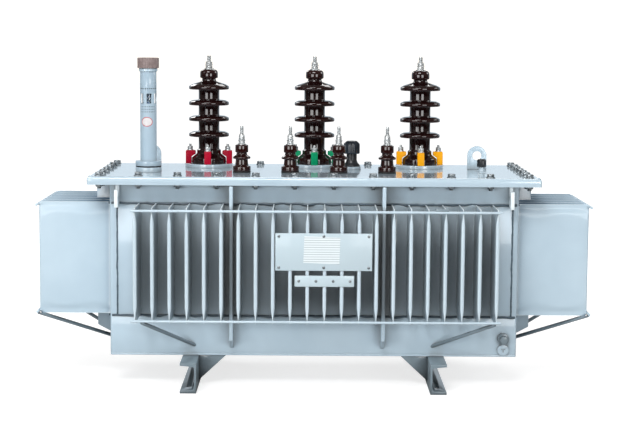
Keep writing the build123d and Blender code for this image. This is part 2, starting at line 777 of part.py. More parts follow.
TAP_BASE_Z = COVER_TOP + TAP_RING_HEIGHT
TAP_KNOB_Z = TAP_BASE_Z + TAP_NECK_HEIGHT


def tap_changer_ring():
    return disc(TAP_RING_RADIUS, COVER_TOP, TAP_BASE_Z, TAP_X, TAP_Y)


def tap_changer_body():
    """Flared base and neck, with the pin that the knob turns on."""
    body = turned(
        [
            (0, TAP_BASE_Z),
            (TAP_BASE_RADIUS, TAP_BASE_Z),
            (TAP_BASE_RADIUS, TAP_BASE_Z + TAP_BASE_LIP),
            (TAP_NECK_RADIUS, TAP_BASE_Z + TAP_FLARE_HEIGHT),
            (TAP_NECK_RADIUS, TAP_KNOB_Z - TAP_KNOB_SEAT_GAP),
            (TAP_PIN_RADIUS, TAP_KNOB_Z - TAP_KNOB_SEAT_GAP),
            (TAP_PIN_RADIUS, TAP_KNOB_Z + TAP_PIN_LENGTH),
            (0, TAP_KNOB_Z + TAP_PIN_LENGTH),
        ]
    )
    return Pos(TAP_X, TAP_Y, 0) * body


def tap_changer_knob():
    """Knob with a sloped crown, finger notches and a blind bore for the pin."""
    top = TAP_KNOB_Z + TAP_KNOB_HEIGHT
    knob = disc(TAP_KNOB_RADIUS, TAP_KNOB_Z, top)
    knob = chamfer(knob.edges().sort_by(Axis.Z)[-1], TAP_KNOB_CROWN)
    notch = Rot(0, 0, 45) * Rectangle(TAP_NOTCH_SIDE, TAP_NOTCH_SIDE)
    cutter = extrude(Pos(TAP_KNOB_RADIUS, 0, TAP_KNOB_Z - CUT_MARGIN) * notch, TAP_KNOB_HEIGHT + 2 * CUT_MARGIN)
    for i in range(TAP_KNOB_NOTCH_COUNT):
        knob -= Rot(0, 0, 360 / TAP_KNOB_NOTCH_COUNT * i) * cutter
    bore_top = TAP_KNOB_Z + TAP_PIN_LENGTH + TAP_KNOB_SEAT_GAP
    knob -= disc(TAP_PIN_RADIUS + TAP_PIN_CLEARANCE, TAP_KNOB_Z - CUT_MARGIN, bore_top)
    return Pos(TAP_X, TAP_Y, 0) * knob


# Oil level tube


OIL_SEAT_TOP = COVER_TOP + OIL_SEAT_HEIGHT
OIL_GASKET_TOP = OIL_SEAT_TOP + OIL_GASKET_HEIGHT
OIL_FLANGE_TOP = OIL_GASKET_TOP + OIL_FLANGE_HEIGHT
OIL_TUBE_TOP = OIL_FLANGE_TOP + OIL_TUBE_LENGTH


def oil_tube_seat():
    return disc(OIL_FLANGE_RADIUS, COVER_TOP, OIL_SEAT_TOP, OIL_X, OIL_Y)


def oil_tube_gasket():
    return disc(OIL_FLANGE_RADIUS - OIL_GASKET_INSET, OIL_SEAT_TOP, OIL_GASKET_TOP, OIL_X, OIL_Y)


def oil_level_tube():
    """Flange and tube in one, with a ring of sight windows between struts."""
    body = disc(OIL_FLANGE_RADIUS, OIL_GASKET_TOP, OIL_FLANGE_TOP)
    body += disc(OIL_TUBE_RADIUS, OIL_FLANGE_TOP, OIL_TUBE_TOP)
    window_z = OIL_FLANGE_TOP + OIL_WINDOW_BOTTOM
    window_top = window_z + OIL_WINDOW_HEIGHT
    bore = OIL_TUBE_RADIUS - OIL_TUBE_WALL
    body -= disc(bore, window_z - OIL_GLASS_END, window_top + OIL_GLASS_END)
    opening = disc(OIL_TUBE_RADIUS + CUT_MARGIN, window_z, window_top)
    for i in range(OIL_STRUT_COUNT):
        turn = OIL_STRUT_TURN + 360 / OIL_STRUT_COUNT * i
        reach = OIL_TUBE_RADIUS + 2 * CUT_MARGIN
        strut = block(0, reach, -OIL_STRUT_WIDTH / 2, OIL_STRUT_WIDTH / 2, window_z, window_top)
        opening -= Rot(0, 0, turn) * strut
    return Pos(OIL_X, OIL_Y, 0) * (body - opening)


def oil_sight_glass():
    z0 = OIL_FLANGE_TOP + OIL_WINDOW_BOTTOM - OIL_GLASS_END
    z1 = z0 + OIL_WINDOW_HEIGHT + 2 * OIL_GLASS_END
    glass = disc(OIL_GLASS_RADIUS, z0, z1) - disc(OIL_GLASS_RADIUS - OIL_GLASS_WALL, z0, z1)
    return Pos(OIL_X, OIL_Y, 0) * glass


def oil_tube_cap():
    """Collar and cap."""
    collar = disc(OIL_COLLAR_RADIUS, OIL_TUBE_TOP, OIL_TUBE_TOP + OIL_COLLAR_HEIGHT)
    z = OIL_TUBE_TOP + OIL_COLLAR_HEIGHT
    cap = disc(OIL_CAP_RADIUS, z, z + OIL_CAP_HEIGHT)
    cap = chamfer(cap.edges().sort_by(Axis.Z)[-1], OIL_CAP_CHAMFER)
    return Pos(OIL_X, OIL_Y, 0) * (collar + cap)


# Filler stub and drain cock


FILLER_TOP = COVER_TOP + FILLER_HEIGHT


def filler_pipe():
    return disc(FILLER_RADIUS, COVER_TOP, FILLER_TOP, FILLER_X, FILLER_Y)


def filler_cap():
    cap = extrude(Pos(FILLER_X, FILLER_Y, FILLER_TOP) * RegularPolygon(FILLER_CAP_RADIUS, 6), FILLER_CAP_HEIGHT)
    return chamfer(cap.faces().sort_by(Axis.Z)[-1].edges(), FILLER_CAP_CHAMFER)


DRAIN_Z = TANK_BOTTOM + DRAIN_HEIGHT
DRAIN_FACE_Y = -WALL_Y - DRAIN_BOSS_LENGTH


def facing_front(sketch, x, y, z, length):
    """A sketch stood up at a point and drawn out towards -Y."""
    return Pos(x, y, z) * Rot(90, 0, 0) * extrude(sketch, length)


def drain_cock_body():
    """A round boss on the wall with a six-sided plug."""
    boss = facing_front(Circle(DRAIN_BOSS_RADIUS), DRAIN_X, -WALL_Y, DRAIN_Z, DRAIN_BOSS_LENGTH)
    plug = RegularPolygon(DRAIN_PLUG_RADIUS, 6)
    return boss + facing_front(plug, DRAIN_X, DRAIN_FACE_Y, DRAIN_Z, DRAIN_PLUG_LENGTH)


def drain_cock_outlet():
    """A round outlet cap with a neck that narrows up to the boss."""
    top = DRAIN_DISC_DROP - DRAIN_BOSS_RADIUS
    wide = DRAIN_DISC_RADIUS * DRAIN_SHOULDER_RATIO
    low = (DRAIN_DISC_RADIUS**2 - wide**2) ** 0.5
    narrow = DRAIN_NECK_WIDTH / 2
    neck = make_face(Polyline([(-wide, low), (wide, low), (narrow, top), (-narrow, top)], close=True))
    plate = Circle(DRAIN_DISC_RADIUS) + neck
    return facing_front(plate, DRAIN_X, -WALL_Y, DRAIN_Z - DRAIN_DISC_DROP, DRAIN_DISC_THICKNESS)


# Plates


def fin_plate(x, z, length, height):
    tip = -FRONT_TIP_Y
    return block(x - length / 2, x + length / 2, tip - PLATE_THICKNESS, tip, z - height / 2, z + height / 2)


def main():
    os.makedirs("parts", exist_ok=True)
    save(tank_floor(), "tank_floor")
    save(tank_lower_band(), "tank_lower_band")
    save(tank_upper_band(), "tank_upper_band")
    save(cover_gasket(), "cover_gasket")
    save(cover(), "cover")
    save(front_corrugated_wall(), "front_corrugated_wall")
    save(rear_corrugated_wall(), "rear_corrugated_wall")
    save(left_corrugated_wall(), "left_corrugated_wall")
    save(right_corrugated_wall(), "right_corrugated_wall")
    save_all(fin_rods(), "fin_rods")
    save_all(end_fin_rods(), "end_fin_rods")
    save_all(fin_braces(), "fin_braces")
    save_all(end_braces(), "end_braces")
    save_all(front_stiffeners(), "front_stiffeners")
    save_all(rear_stiffeners(), "rear_stiffeners")
    save_all(end_stiffeners(), "end_stiffeners")
    save(left_foot(), "left_foot")
    save(right_foot(), "right_foot")
    save_all(foot_gussets(), "foot_gussets")
    save_all(tank_lifting_hooks(), "tank_lifting_hooks")
    save_all(cover_lifting_eyes(), "cover_lifting_eyes")
    save_all([disc(HV_SEAT_RADIUS, COVER_TOP, SEAT_TOP, x, HV_Y) for x in hv_x()], "hv_bushing_seats")
    save_all([Pos(x, HV_Y, 0) * hv_bushing() for x in hv_x()], "hv_bushings")
    for x, colour in zip(hv_x(), ("red", "green", "yellow")):
        save_all(hv_clamps(x), f"hv_clamps_{colour}")
    save_all([Pos(x, HV_Y, 0) * hv_terminal() for x in hv_x()], "hv_terminals")
    save_all([disc(LV_BASE_RADIUS, COVER_TOP, LV_BOTTOM, x, y) for x, y in lv_places()], "lv_bushing_gaskets")
    save_all([Pos(x, y, 0) * lv_bushing() for x, y in lv_places()], "lv_bushings")
    save_all([Pos(x, y, 0) * lv_terminal() for x, y in lv_places()], "lv_terminals")
    save(tap_changer_ring(), "tap_changer_ring")
    save(tap_changer_body(), "tap_changer_body")
    save(tap_changer_knob(), "tap_changer_knob")
    save(oil_tube_seat(), "oil_tube_seat")
    save(oil_tube_gasket(), "oil_tube_gasket")
    save(oil_level_tube(), "oil_level_tube")
    save(oil_sight_glass(), "oil_sight_glass")
    save(oil_tube_cap(), "oil_tube_cap")
    save(filler_pipe(), "filler_pipe")
    save(filler_cap(), "filler_cap")
    save(drain_cock_body(), "drain_cock_body")
    save(drain_cock_outlet(), "drain_cock_outlet")
    save(fin_plate(RATING_PLATE_X, RATING_PLATE_Z, RATING_PLATE_LENGTH, RATING_PLATE_HEIGHT), "rating_plate")
    save(fin_plate(STRIP_PLATE_X, STRIP_PLATE_Z, STRIP_PLATE_LENGTH, STRIP_PLATE_HEIGHT), "strip_plate")


main()
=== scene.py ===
"""Looks of an oil-filled power transformer: corrugated tank, bolted cover and porcelain bushings."""

import logging
import math
import random
from abc import ABC, abstractmethod
from contextlib import contextmanager
from dataclasses import dataclass
from enum import Enum
from typing import Any, Callable, Iterator, NamedTuple, Sequence

import bpy
from mathutils import Matrix, Vector, noise


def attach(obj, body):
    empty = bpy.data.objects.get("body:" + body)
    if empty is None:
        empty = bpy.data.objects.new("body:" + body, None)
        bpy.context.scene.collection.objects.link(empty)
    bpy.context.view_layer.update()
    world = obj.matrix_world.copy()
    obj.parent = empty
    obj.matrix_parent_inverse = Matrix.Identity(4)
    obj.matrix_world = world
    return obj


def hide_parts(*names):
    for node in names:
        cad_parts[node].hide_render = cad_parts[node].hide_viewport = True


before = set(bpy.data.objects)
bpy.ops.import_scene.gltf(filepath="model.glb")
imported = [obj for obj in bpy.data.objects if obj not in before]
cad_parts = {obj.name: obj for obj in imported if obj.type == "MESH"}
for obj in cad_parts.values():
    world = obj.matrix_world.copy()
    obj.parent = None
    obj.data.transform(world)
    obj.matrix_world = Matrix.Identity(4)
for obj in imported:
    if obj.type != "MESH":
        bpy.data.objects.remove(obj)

MM = 0.001
UNIT = "transformer"
KNOB = "tap_knob"
COVER_TOP = 566.0
MERGE_DISTANCE = 1e-5
SMOOTH_ANGLE = math.radians(35)
BEVEL_ANGLE = math.radians(40)
FLAT_ANGLE = math.radians(1)
LOG = logging.getLogger("transformer")

Piece = bpy.types.Object
Material = bpy.types.Material
Tree = bpy.types.NodeTree
Outline = Sequence[tuple[float, ...]]
Place = Callable[[Vector], bool]


class Grip(Enum):
    """What an edit takes hold of."""

    VERT = "VERT"
    EDGE = "EDGE"
    FACE = "FACE"


# Modelling


def clear_selection() -> None:
    """Leave object mode with nothing selected."""
    if bpy.context.object and bpy.context.object.mode != "OBJECT":
        bpy.ops.object.mode_set(mode="OBJECT")
    bpy.ops.object.select_all(action="DESELECT")


def take(piece: Piece) -> None:
    """Make one piece the only one selected, and the active one."""
    clear_selection()
    piece.select_set(True)
    bpy.context.view_layer.objects.active = piece


def mark(piece: Piece, grip: Grip, where: Place) -> None:
    """Select the parts of a mesh whose middle passes a test.

    Args:
        piece: The piece, in object mode.
        grip: Whether corners, edges or faces are tested.
        where: The test, given a middle point in millimetres.
    """
    mesh = piece.data
    for group in (mesh.vertices, mesh.edges, mesh.polygons):
        group.foreach_set("select", [False] * len(group))
    if grip is Grip.VERT:
        for vert in mesh.vertices:
            vert.select = where(vert.co / MM)
    elif grip is Grip.EDGE:
        for edge in mesh.edges:
            a, b = (mesh.vertices[i].co for i in edge.vertices)
            edge.select = where((a + b) / 2 / MM)
    else:
        for face in mesh.polygons:
            face.select = where(face.center / MM)


@contextmanager
def edit(piece: Piece, grip: Grip = Grip.FACE, where: Place | None = None) -> Iterator[None]:
    """Open a piece in edit mode with part of it selected, and close it again.

    Args:
        piece: The piece to edit.
        grip: What is selected: corners, edges or faces.
        where: Test on a middle point in millimetres; without it, all is selected.
    """
    take(piece)
    bpy.ops.object.mode_set(mode="EDIT")
    bpy.ops.mesh.select_mode(type=grip.value)
    bpy.ops.mesh.select_all(action="SELECT" if where is None else "DESELECT")
    if where is not None:
        bpy.ops.object.mode_set(mode="OBJECT")
        mark(piece, grip, where)
        bpy.ops.object.mode_set(mode="EDIT")
    yield
    bpy.ops.object.mode_set(mode="OBJECT")


def settle(piece: Piece) -> None:
    """Put a piece's place, turn and size into its mesh."""
    take(piece)
    bpy.ops.object.transform_apply(location=True, rotation=True, scale=True)


def start(name: str, add: Callable[..., Any], at: Sequence[float], **size: Any) -> Piece:
    """Add a primitive at its place.

    Args:
        name: The piece's name.
        add: The operator that adds the primitive.
        at: Its centre in millimetres.
        **size: The operator's own settings, in metres.

    Returns:
        The piece, with its place in its mesh.
    """
    clear_selection()
    add(location=[c * MM for c in at], **size)
    piece = bpy.context.object
    piece.name = piece.data.name = name
    settle(piece)
    return piece


def box(name: str, low: Sequence[float], high: Sequence[float], bevel: float = 0.0, cuts: int = 2) -> Piece:
    """Make a block between two corners, with its edges rounded over.

    Args:
        name: The piece's name.
        low: Lowest corner in millimetres.
        high: Highest corner in millimetres.
        bevel: Width of the rounding in millimetres.
        cuts: Segments of the rounding.

    Returns:
        The block.
    """
    centre = [(a + b) / 2 for a, b in zip(low, high)]
    size = [(b - a) * MM for a, b in zip(low, high)]
    piece = start(name, bpy.ops.mesh.primitive_cube_add, centre, size=1.0, scale=size)
    if bevel:
        with edit(piece, Grip.EDGE):
            bpy.ops.mesh.bevel(offset=bevel * MM, segments=cuts, affect="EDGES")
    return piece


def soften(outline: Outline, steps: int = 4) -> list[tuple[float, float]]:
    """Round the corners of an open outline.

    Args:
        outline: Points of (across, up) or (across, up, corner radius).
        steps: Straight pieces in each rounded corner.

    Returns:
        Plain (across, up) points.
    """
    points = [Vector((p[0], p[1])) for p in outline]
    drawn: list[tuple[float, float]] = []
    for i, entry in enumerate(outline):
        radius = entry[2] if len(entry) > 2 else 0.0
        here = points[i]
        if not radius or i in (0, len(points) - 1):
            drawn.append(tuple(here))
            continue
        back, ahead = points[i - 1] - here, points[i + 1] - here
        half = back.angle(ahead) / 2
        reach = min(radius / math.tan(half), 0.49 * back.length, 0.49 * ahead.length)
        first, last = here + back.normalized() * reach, here + ahead.normalized() * reach
        for step in range(steps + 1):
            t = step / steps
            drawn.append(tuple(first * (1 - t) ** 2 + here * 2 * t * (1 - t) + last * t**2))
    return drawn


def pull(step: Sequence[float]) -> None:
    """Extrude what is selected by a step in millimetres."""
    bpy.ops.mesh.extrude_region_move(TRANSFORM_OT_translate={"value": [c * MM for c in step]})


def face_out() -> None:
    """Turn the faces of the piece that is being edited outwards."""
    bpy.ops.mesh.select_all(action="SELECT")
    bpy.ops.mesh.normals_make_consistent(inside=False)


def applied(piece: Piece, kind: str, **settings: Any) -> Piece:
    """Give a piece a modifier with its settings, and apply it."""
    take(piece)
    modifier = piece.modifiers.new(kind.lower(), kind)
    for key, value in settings.items():
        setattr(modifier, key, value)
    bpy.ops.object.modifier_apply(modifier=modifier.name)
    return piece


def draw_line(name: str, points: Sequence[Sequence[float]]) -> Piece:
    """Draw a line of edges by extruding one corner from point to point.

    Args:
        name: The piece's name.
        points: (x, y, z) points in millimetres.

    Returns:
        The line as a mesh.
    """
    line = start(name, bpy.ops.mesh.primitive_plane_add, points[0], size=MM)
    with edit(line, Grip.VERT):
        bpy.ops.mesh.merge(type="CENTER")
        for a, b in zip(points, points[1:]):
            pull([q - p for p, q in zip(a, b)])
    return line


def spun(name: str, outline: Outline, at: Sequence[float] = (0, 0, 0), steps: int = 48) -> Piece:
    """Turn an outline round an upright axis into a closed body.

    Args:
        name: The piece's name.
        outline: (radius, height) or (radius, height, corner radius) from the axis to the axis.
        at: Foot of the axis in millimetres.
        steps: Faces round the body.

    Returns:
        The body.
    """
    body = draw_line(name, [(r, 0, z) for r, z in soften(outline)])
    with edit(body, Grip.VERT):
        bpy.ops.mesh.spin(steps=steps, angle=math.tau, center=(0, 0, 0), axis=(0, 0, 1))
        bpy.ops.mesh.select_all(action="SELECT")
        bpy.ops.mesh.remove_doubles(threshold=MERGE_DISTANCE)
        face_out()
    body.data.transform(Matrix.Translation(Vector(at) * MM))
    return body


def disc(
    name: str,
    radius: float,
    low: float,
    high: float,
    ease: tuple[float, float] = (0.4, 0.6),
    at: Sequence[float] = (0, 0, 0),
    steps: int = 24,
) -> Piece:
    """Turn a disc with eased rims, such as a washer, a seat or a gasket.

    Args:
        name: The piece's name.
        radius: Its radius in millimetres.
        low: Level of its lower face.
        high: Level of its upper face.
        ease: Rounding of its lower and its upper rim.
        at: Foot of its axis.
        steps: Faces round it.

    Returns:
        The disc.
    """
    return spun(name, [(0, low), (radius, low, ease[0]), (radius, high, ease[1]), (0, high)], at, steps)


def cylinder(name: str, sides: int, radius: float, low: float, high: float) -> Piece:
    """Make an upright cylinder or prism between two levels, in millimetres."""
    size = {"vertices": sides, "radius": radius * MM, "depth": (high - low) * MM}
    return start(name, bpy.ops.mesh.primitive_cylinder_add, (0, 0, (low + high) / 2), **size)


def copied(piece: Piece, name: str, place: Matrix) -> Piece:
    """Copy a piece with a mesh of its own and put it in place."""
    twin = piece.copy()
    twin.data = piece.data.copy()
    twin.name = twin.data.name = name
    twin.data.transform(place)
    bpy.context.collection.objects.link(twin)
    return twin


def moved(x: float, y: float, z: float = 0.0, turn: float = 0.0) -> Matrix:
    """Give the place of a piece in millimetres, turned about the upright axis in degrees."""
    return Matrix.Translation(Vector((x, y, z)) * MM) @ Matrix.Rotation(math.radians(turn), 4, "Z")


def between(first: Sequence[float], last: Sequence[float]) -> Matrix:
    """Give the place of an upright piece that is laid from one point to another, in millimetres."""
    a, b = Vector(first), Vector(last)
    return Matrix.Translation((a + b) / 2 * MM) @ (b - a).to_track_quat("Z", "Y").to_matrix().to_4x4()


def row(count: int, pitch: float, shift: float = 0.0) -> list[float]:
    """List evenly spaced places about a middle, in millimetres."""
    return [(i - (count - 1) / 2) * pitch + shift for i in range(count)]


def joined(name: str, pieces: Sequence[Piece]) -> Piece:
    """Join pieces into one."""
    take(pieces[0])
    for piece in pieces:
        piece.select_set(True)
    bpy.ops.object.join()
    pieces[0].name = pieces[0].data.name = name
    return pieces[0]


def repeated(name: str, piece: Piece, places: Sequence[Matrix]) -> Piece:
    """Copy a piece to every place, join the copies and remove the pattern."""
    copies = [copied(piece, name, place) for place in places]
    bpy.data.objects.remove(piece)
    return joined(name, copies)


def rounded(piece: Piece, width: float, cuts: int = 2) -> Piece:
    """Round the sharp edges of a piece with an applied bevel."""
    limit = {"limit_method": "ANGLE", "angle_limit": BEVEL_ANGLE}
    return applied(piece, "BEVEL", width=width * MM, segments=cuts, **limit)


def from_solid(solid: str, name: str, bevel: float) -> Piece:
    """Take a copy of a solid, clear the lines inside its flat faces and round its edges.

    Args:
        solid: The solid that is copied.
        name: The new piece's name.
        bevel: Width of the rounding in millimetres.

    Returns:
        The new piece.
    """
    piece = copied(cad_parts[solid], name, Matrix.Identity(4))
    with edit(piece, Grip.VERT):
        bpy.ops.mesh.remove_doubles(threshold=MERGE_DISTANCE)
        bpy.ops.mesh.dissolve_limited(angle_limit=FLAT_ANGLE)
    return rounded(piece, bevel)


def dressed(piece: Piece, finish: "Finish", replaces: Sequence[str] = (), body: str = UNIT) -> None:
    """Give a finished piece its material and tie it to its moving body.

    Args:
        piece: The finished piece.
        finish: Its material; the slot name it carries is not used.
        replaces: Solids that the piece stands for.
        body: Moving body that carries the piece.
    """
    take(piece)
    bpy.ops.object.shade_smooth_by_angle(angle=SMOOTH_ANGLE)
    piece.data.materials.clear()
    piece.data.materials.append(finish.material)
    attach(piece, body)
    if replaces:
        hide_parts(*replaces)
    LOG.info("%s: %d faces", piece.name, len(piece.data.polygons))


# Hardware


def hexagon(name: str, across: float, low: float, high: float) -> Piece:
    """Make a hexagon head or nut with its corners turned off.

    Args:
        name: The piece's name.
        across: Width across flats in millimetres.
        low: Level of its lower face.
        high: Level of its upper face.

    Returns:
        The hexagon.
    """
    piece = cylinder(name, 6, across / 2 / math.cos(math.radians(30)), low, high)
    with edit(piece, Grip.FACE, lambda p: p.z > high - 0.1):
        bpy.ops.mesh.inset(thickness=across * 0.07 * MM)
        bpy.ops.transform.translate(value=(0, 0, across * 0.03 * MM))
    return rounded(piece, 0.4, 1)


@dataclass(frozen=True)
class Thread:
    """A screw thread drawn as level rings, each with a crest and a root above it."""

    crest: float
    root: float
    pitch: float
    rise: float
    turns: int
    steps: int

    def cut(self, foot: Outline, first: float, tip: Outline) -> Piece:
        """Turn a threaded stud.

        Args:
            foot: Points of its outline under the thread.
            first: Level of the first crest.
            tip: Points of its outline above the thread.

        Returns:
            The stud.
        """
        levels = [first + i * self.pitch for i in range(self.turns)]
        rings = [point for z in levels for point in ((self.crest, z), (self.root, z + self.rise))]
        return spun("thread", [*foot, *rings, *tip], steps=self.steps)


# Finishes


def linear(code: str) -> tuple[float, float, float, float]:
    """Turn an sRGB hex colour into linear light."""
    channels = [int(code[i : i + 2], 16) / 255 for i in (1, 3, 5)]
    return (*[c / 12.92 if c <= 0.04045 else ((c + 0.055) / 1.055) ** 2.4 for c in channels], 1.0)


def node(
    tree: Tree,
    kind: str,
    settings: dict[str, Any] | None = None,
    values: dict[Any, Any] | None = None,
    links: dict[Any, Any] | None = None,
) -> bpy.types.Node:
    """Add a node with its settings, socket values and links.

    Args:
        tree: The material's tree.
        kind: The node's type name without its prefix.
        settings: Properties of the node.
        values: Values of its input sockets.
        links: Output sockets that feed its input sockets.

    Returns:
        The node.
    """
    made = tree.nodes.new("ShaderNode" + kind)
    for key, value in (settings or {}).items():
        setattr(made, key, value)
    for key, value in (values or {}).items():
        made.inputs[key].default_value = value
    for key, source in (links or {}).items():
        tree.links.new(source, made.inputs[key])
    return made


def blank_material(name: str) -> tuple[Material, Tree]:
    """Make a material with an empty tree."""
    material = bpy.data.materials.new(name)
    material.use_nodes = True
    material.node_tree.nodes.clear()
    return material, material.node_tree


def two_tone(tree: Tree, fac: Any, low: str, high: str, span: tuple[float, float]) -> Any:
    """Blend two colours over a span of a value.

    Args:
        tree: The material's tree.
        fac: Output socket with the value.
        low: Colour below the span.
        high: Colour above the span.
        span: Where the blend starts and ends.

    Returns:
        The colour socket.
    """
    ramp = node(tree, "ValToRGB", links={"Fac": fac})
    ramp.color_ramp.elements[0].position, ramp.color_ramp.elements[1].position = span
    ramp.color_ramp.elements[0].color = linear(low)
    ramp.color_ramp.elements[1].color = linear(high)
    return ramp.outputs["Color"]


def mottle(tree: Tree, place: Any, size_mm: float, detail: float = 2.0) -> Any:
    """Give a soft noise whose patches have about one size in millimetres."""
    values = {"Scale": 1 / (size_mm * MM), "Detail": detail}
    return node(tree, "TexNoise", values=values, links={"Vector": place}).outputs["Fac"]


def spread(tree: Tree, value: Any, span: Sequence[float], result: Sequence[float], smooth: bool = True) -> Any:
    """Spread a value from one span of numbers over another.

    Args:
        tree: The material's tree.
        value: Output socket with the value.
        span: Start and end of the value.
        result: What its start and its end become.
        smooth: Whether both ends ease in.

    Returns:
        The socket of the result.
    """
    spans = {"From Min": span[0], "From Max": span[1], "To Min": result[0], "To Max": result[1]}
    kind = {"interpolation_type": "SMOOTHSTEP" if smooth else "LINEAR"}
    return node(tree, "MapRange", kind, spans, {"Value": value}).outputs["Result"]


def relief(tree: Tree, height: Any, strength: float, depth_mm: float, under: Any = None) -> Any:
    """Give a normal pushed in and out by a height, over another normal where there is one."""
    links = {"Height": height} if under is None else {"Height": height, "Normal": under}
    values = {"Strength": strength, "Distance": depth_mm * MM}
    return node(tree, "Bump", values=values, links=links).outputs["Normal"]


def closed(material: Material, tree: Tree, values: dict[str, Any], links: dict[str, Any]) -> Material:
    """Close a material with its main shader, given that shader's values and links."""
    shader = node(tree, "BsdfPrincipled", values=values, links=links)
    node(tree, "OutputMaterial", links={"Surface": shader.outputs["BSDF"]})
    return material


class Finish(NamedTuple):
    """A material and the name of a slot, kept beside it."""

    slot: str
    material: Material


class Surface(ABC):
    """A real surface that can be built as a material."""

    @abstractmethod
    def material(self) -> Material:
        """Build the material."""

    def into(self, slot: str) -> Finish:
        """Build the material and pair it with a slot name."""
        return Finish(slot, self.material())


@dataclass(frozen=True)
class Enamel(Surface):
    """Stoving enamel on steel sheet: glossy, a faint orange peel, painted shade in the gaps and a painted highlight
    on sharp edges.
    """

    name: str = "blue_grey_stoving_enamel"
    colour: str = "#B9CDDA"
    deep: str = "#B0C5D3"
    # Colour of the painted shade that darkens crevices, gaps and the undersides of overhangs.
    painted_shade: str = "#8C9397"
    # Colour of the painted highlight on sharp edges and fin noses.
    edge: str = "#E6F0F4"
    edge_highlight: float = 0.0
    edge_highlight_span: tuple[float, float] = (0.53, 0.62)
    roughness: float = 0.28
    gloss: float = 0.4
    coat: float = 0.4
    peel_mm: float = 3.0
    sheet_mm: float = 75.0
    cloud_mm: float = 160.0
    shade_mm: float = 55.0

    def material(self) -> Material:
        """Build the finish: clouded colour, painted shade in crevices and a painted highlight on edges, with a fine
        ripple.
        """
        material, tree = blank_material(self.name)
        place = node(tree, "TexCoord").outputs["Object"]
        paint = two_tone(tree, mottle(tree, place, self.cloud_mm, 3.0), self.deep, self.colour, (0.35, 0.65))
        # Painted shade: ambient occlusion mixes in the darker colour wherever other surfaces are near, in place of
        # the shade in gaps and corners.
        shade = node(tree, "AmbientOcclusion", {"samples": 8}, {"Distance": self.shade_mm * MM}).outputs["AO"]
        depth = spread(tree, shade, (0.25, 0.8), (0.0, 1.0), smooth=False)
        mix = {"data_type": "RGBA"}
        dark = node(tree, "Mix", mix, {"A": linear(self.painted_shade)}, {"Factor": depth, "B": paint}).outputs["Result"]
        # Painted highlight: pointiness picks out convex edges and fin noses, which get the pale colour in place of
        # the light they catch.
        edges = node(tree, "NewGeometry").outputs["Pointiness"]
        edge_highlight = spread(tree, edges, self.edge_highlight_span, (0.0, self.edge_highlight))
        shaded_and_highlit = node(tree, "Mix", mix, {"B": linear(self.edge)}, {"Factor": edge_highlight, "A": dark}).outputs["Result"]
        buckle = relief(tree, mottle(tree, place, self.sheet_mm), 0.12, 1.5)
        peel = relief(tree, mottle(tree, place, self.peel_mm, 1.0), 0.05, 0.2, buckle)
        values = {
            "Roughness": self.roughness,
            "Specular IOR Level": self.gloss,
            "Coat Weight": self.coat,
            "Coat Roughness": 0.05,
        }
        return closed(material, tree, values, {"Base Color": shaded_and_highlit, "Normal": peel})


@dataclass(frozen=True)
class Glaze(Surface):
    """Brown glazed porcelain: wet, deep gloss, and redder where the glaze runs thin on an edge."""

    name: str = "brown_glazed_porcelain"
    colour: str = "#1A0A0A"
    thin: str = "#3A1815"
    speck_mm: float = 9.0
    pull_mm: float = 14.0

    def material(self) -> Material:
        """Build the finish: dark body, warm where it thins, and a slow pull in the glaze."""
        material, tree = blank_material(self.name)
        place = node(tree, "TexCoord").outputs["Object"]
        speck = mottle(tree, place, self.speck_mm, 4.0)
        edge = node(tree, "NewGeometry").outputs["Pointiness"]
        mixed = node(tree, "Math", {"operation": "MULTIPLY_ADD"}, {1: 0.06}, {0: speck, 2: edge}).outputs["Value"]
        colour = two_tone(tree, mixed, self.colour, self.thin, (0.54, 0.66))
        slow = relief(tree, mottle(tree, place, self.pull_mm, 1.0), 0.02, 0.3)
        values = {"Roughness": 0.06, "IOR": 1.5, "Specular IOR Level": 0.5}
        return closed(material, tree, values, {"Base Color": colour, "Normal": slow})


@dataclass(frozen=True)
class Plating(Surface):
    """Zinc plated steel: grey metal with a cloudy, slightly rough surface."""

    name: str = "zinc_plated_steel"
    colour: str = "#DADDDE"
    dull: str = "#A3A8AA"
    roughness: float = 0.36
    spangle_mm: float = 4.0

    def material(self) -> Material:
        """Build the finish: spangled grey metal with uneven gloss."""
        material, tree = blank_material(self.name)
        spangle = mottle(tree, node(tree, "TexCoord").outputs["Object"], self.spangle_mm, 3.0)
        colour = two_tone(tree, spangle, self.dull, self.colour, (0.3, 0.6))
        glossy, rough = self.roughness - 0.1, self.roughness + 0.12
        uneven = spread(tree, spangle, (0.0, 1.0), (glossy, rough), smooth=False)
        return closed(material, tree, {"Metallic": 0.8}, {"Base Color": colour, "Roughness": uneven})


@dataclass(frozen=True)
class Moulding(Surface):
    """Moulded plastic or rubber: one colour right through, with a fine eroded grain."""

    name: str
    colour: str
    pale: str
    roughness: float
    grain_mm: float = 0.8
    cloud_mm: float = 12.0

    def material(self) -> Material:
        """Build the finish: nearly even colour with a fine grain."""
        material, tree = blank_material(self.name)
        place = node(tree, "TexCoord").outputs["Object"]
        grain = relief(tree, mottle(tree, place, self.grain_mm), 0.12, 0.1)
        colour = two_tone(tree, mottle(tree, place, self.cloud_mm), self.colour, self.pale, (0.3, 0.7))
        values = {"Roughness": self.roughness, "IOR": 1.5}
        return closed(material, tree, values, {"Base Color": colour, "Normal": grain})


@dataclass(frozen=True)
class SightGlass(Surface):
    """Blown borosilicate tube: clear, with a faint blue cast in its wall."""

    name: str = "clear_tube_glass"
    tint: str = "#D5E6F0"
    wave_mm: float = 20.0

    def material(self) -> Material:
        """Build the finish: clear glass with a slightly uneven wall."""
        material, tree = blank_material(self.name)
        wave = relief(tree, mottle(tree, node(tree, "TexCoord").outputs["Object"], self.wave_mm), 0.05, 0.2)
        values = {"Base Color": linear(self.tint), "Roughness": 0.03, "IOR": 1.47, "Transmission Weight": 0.9}
        return closed(material, tree, values, {"Normal": wave})


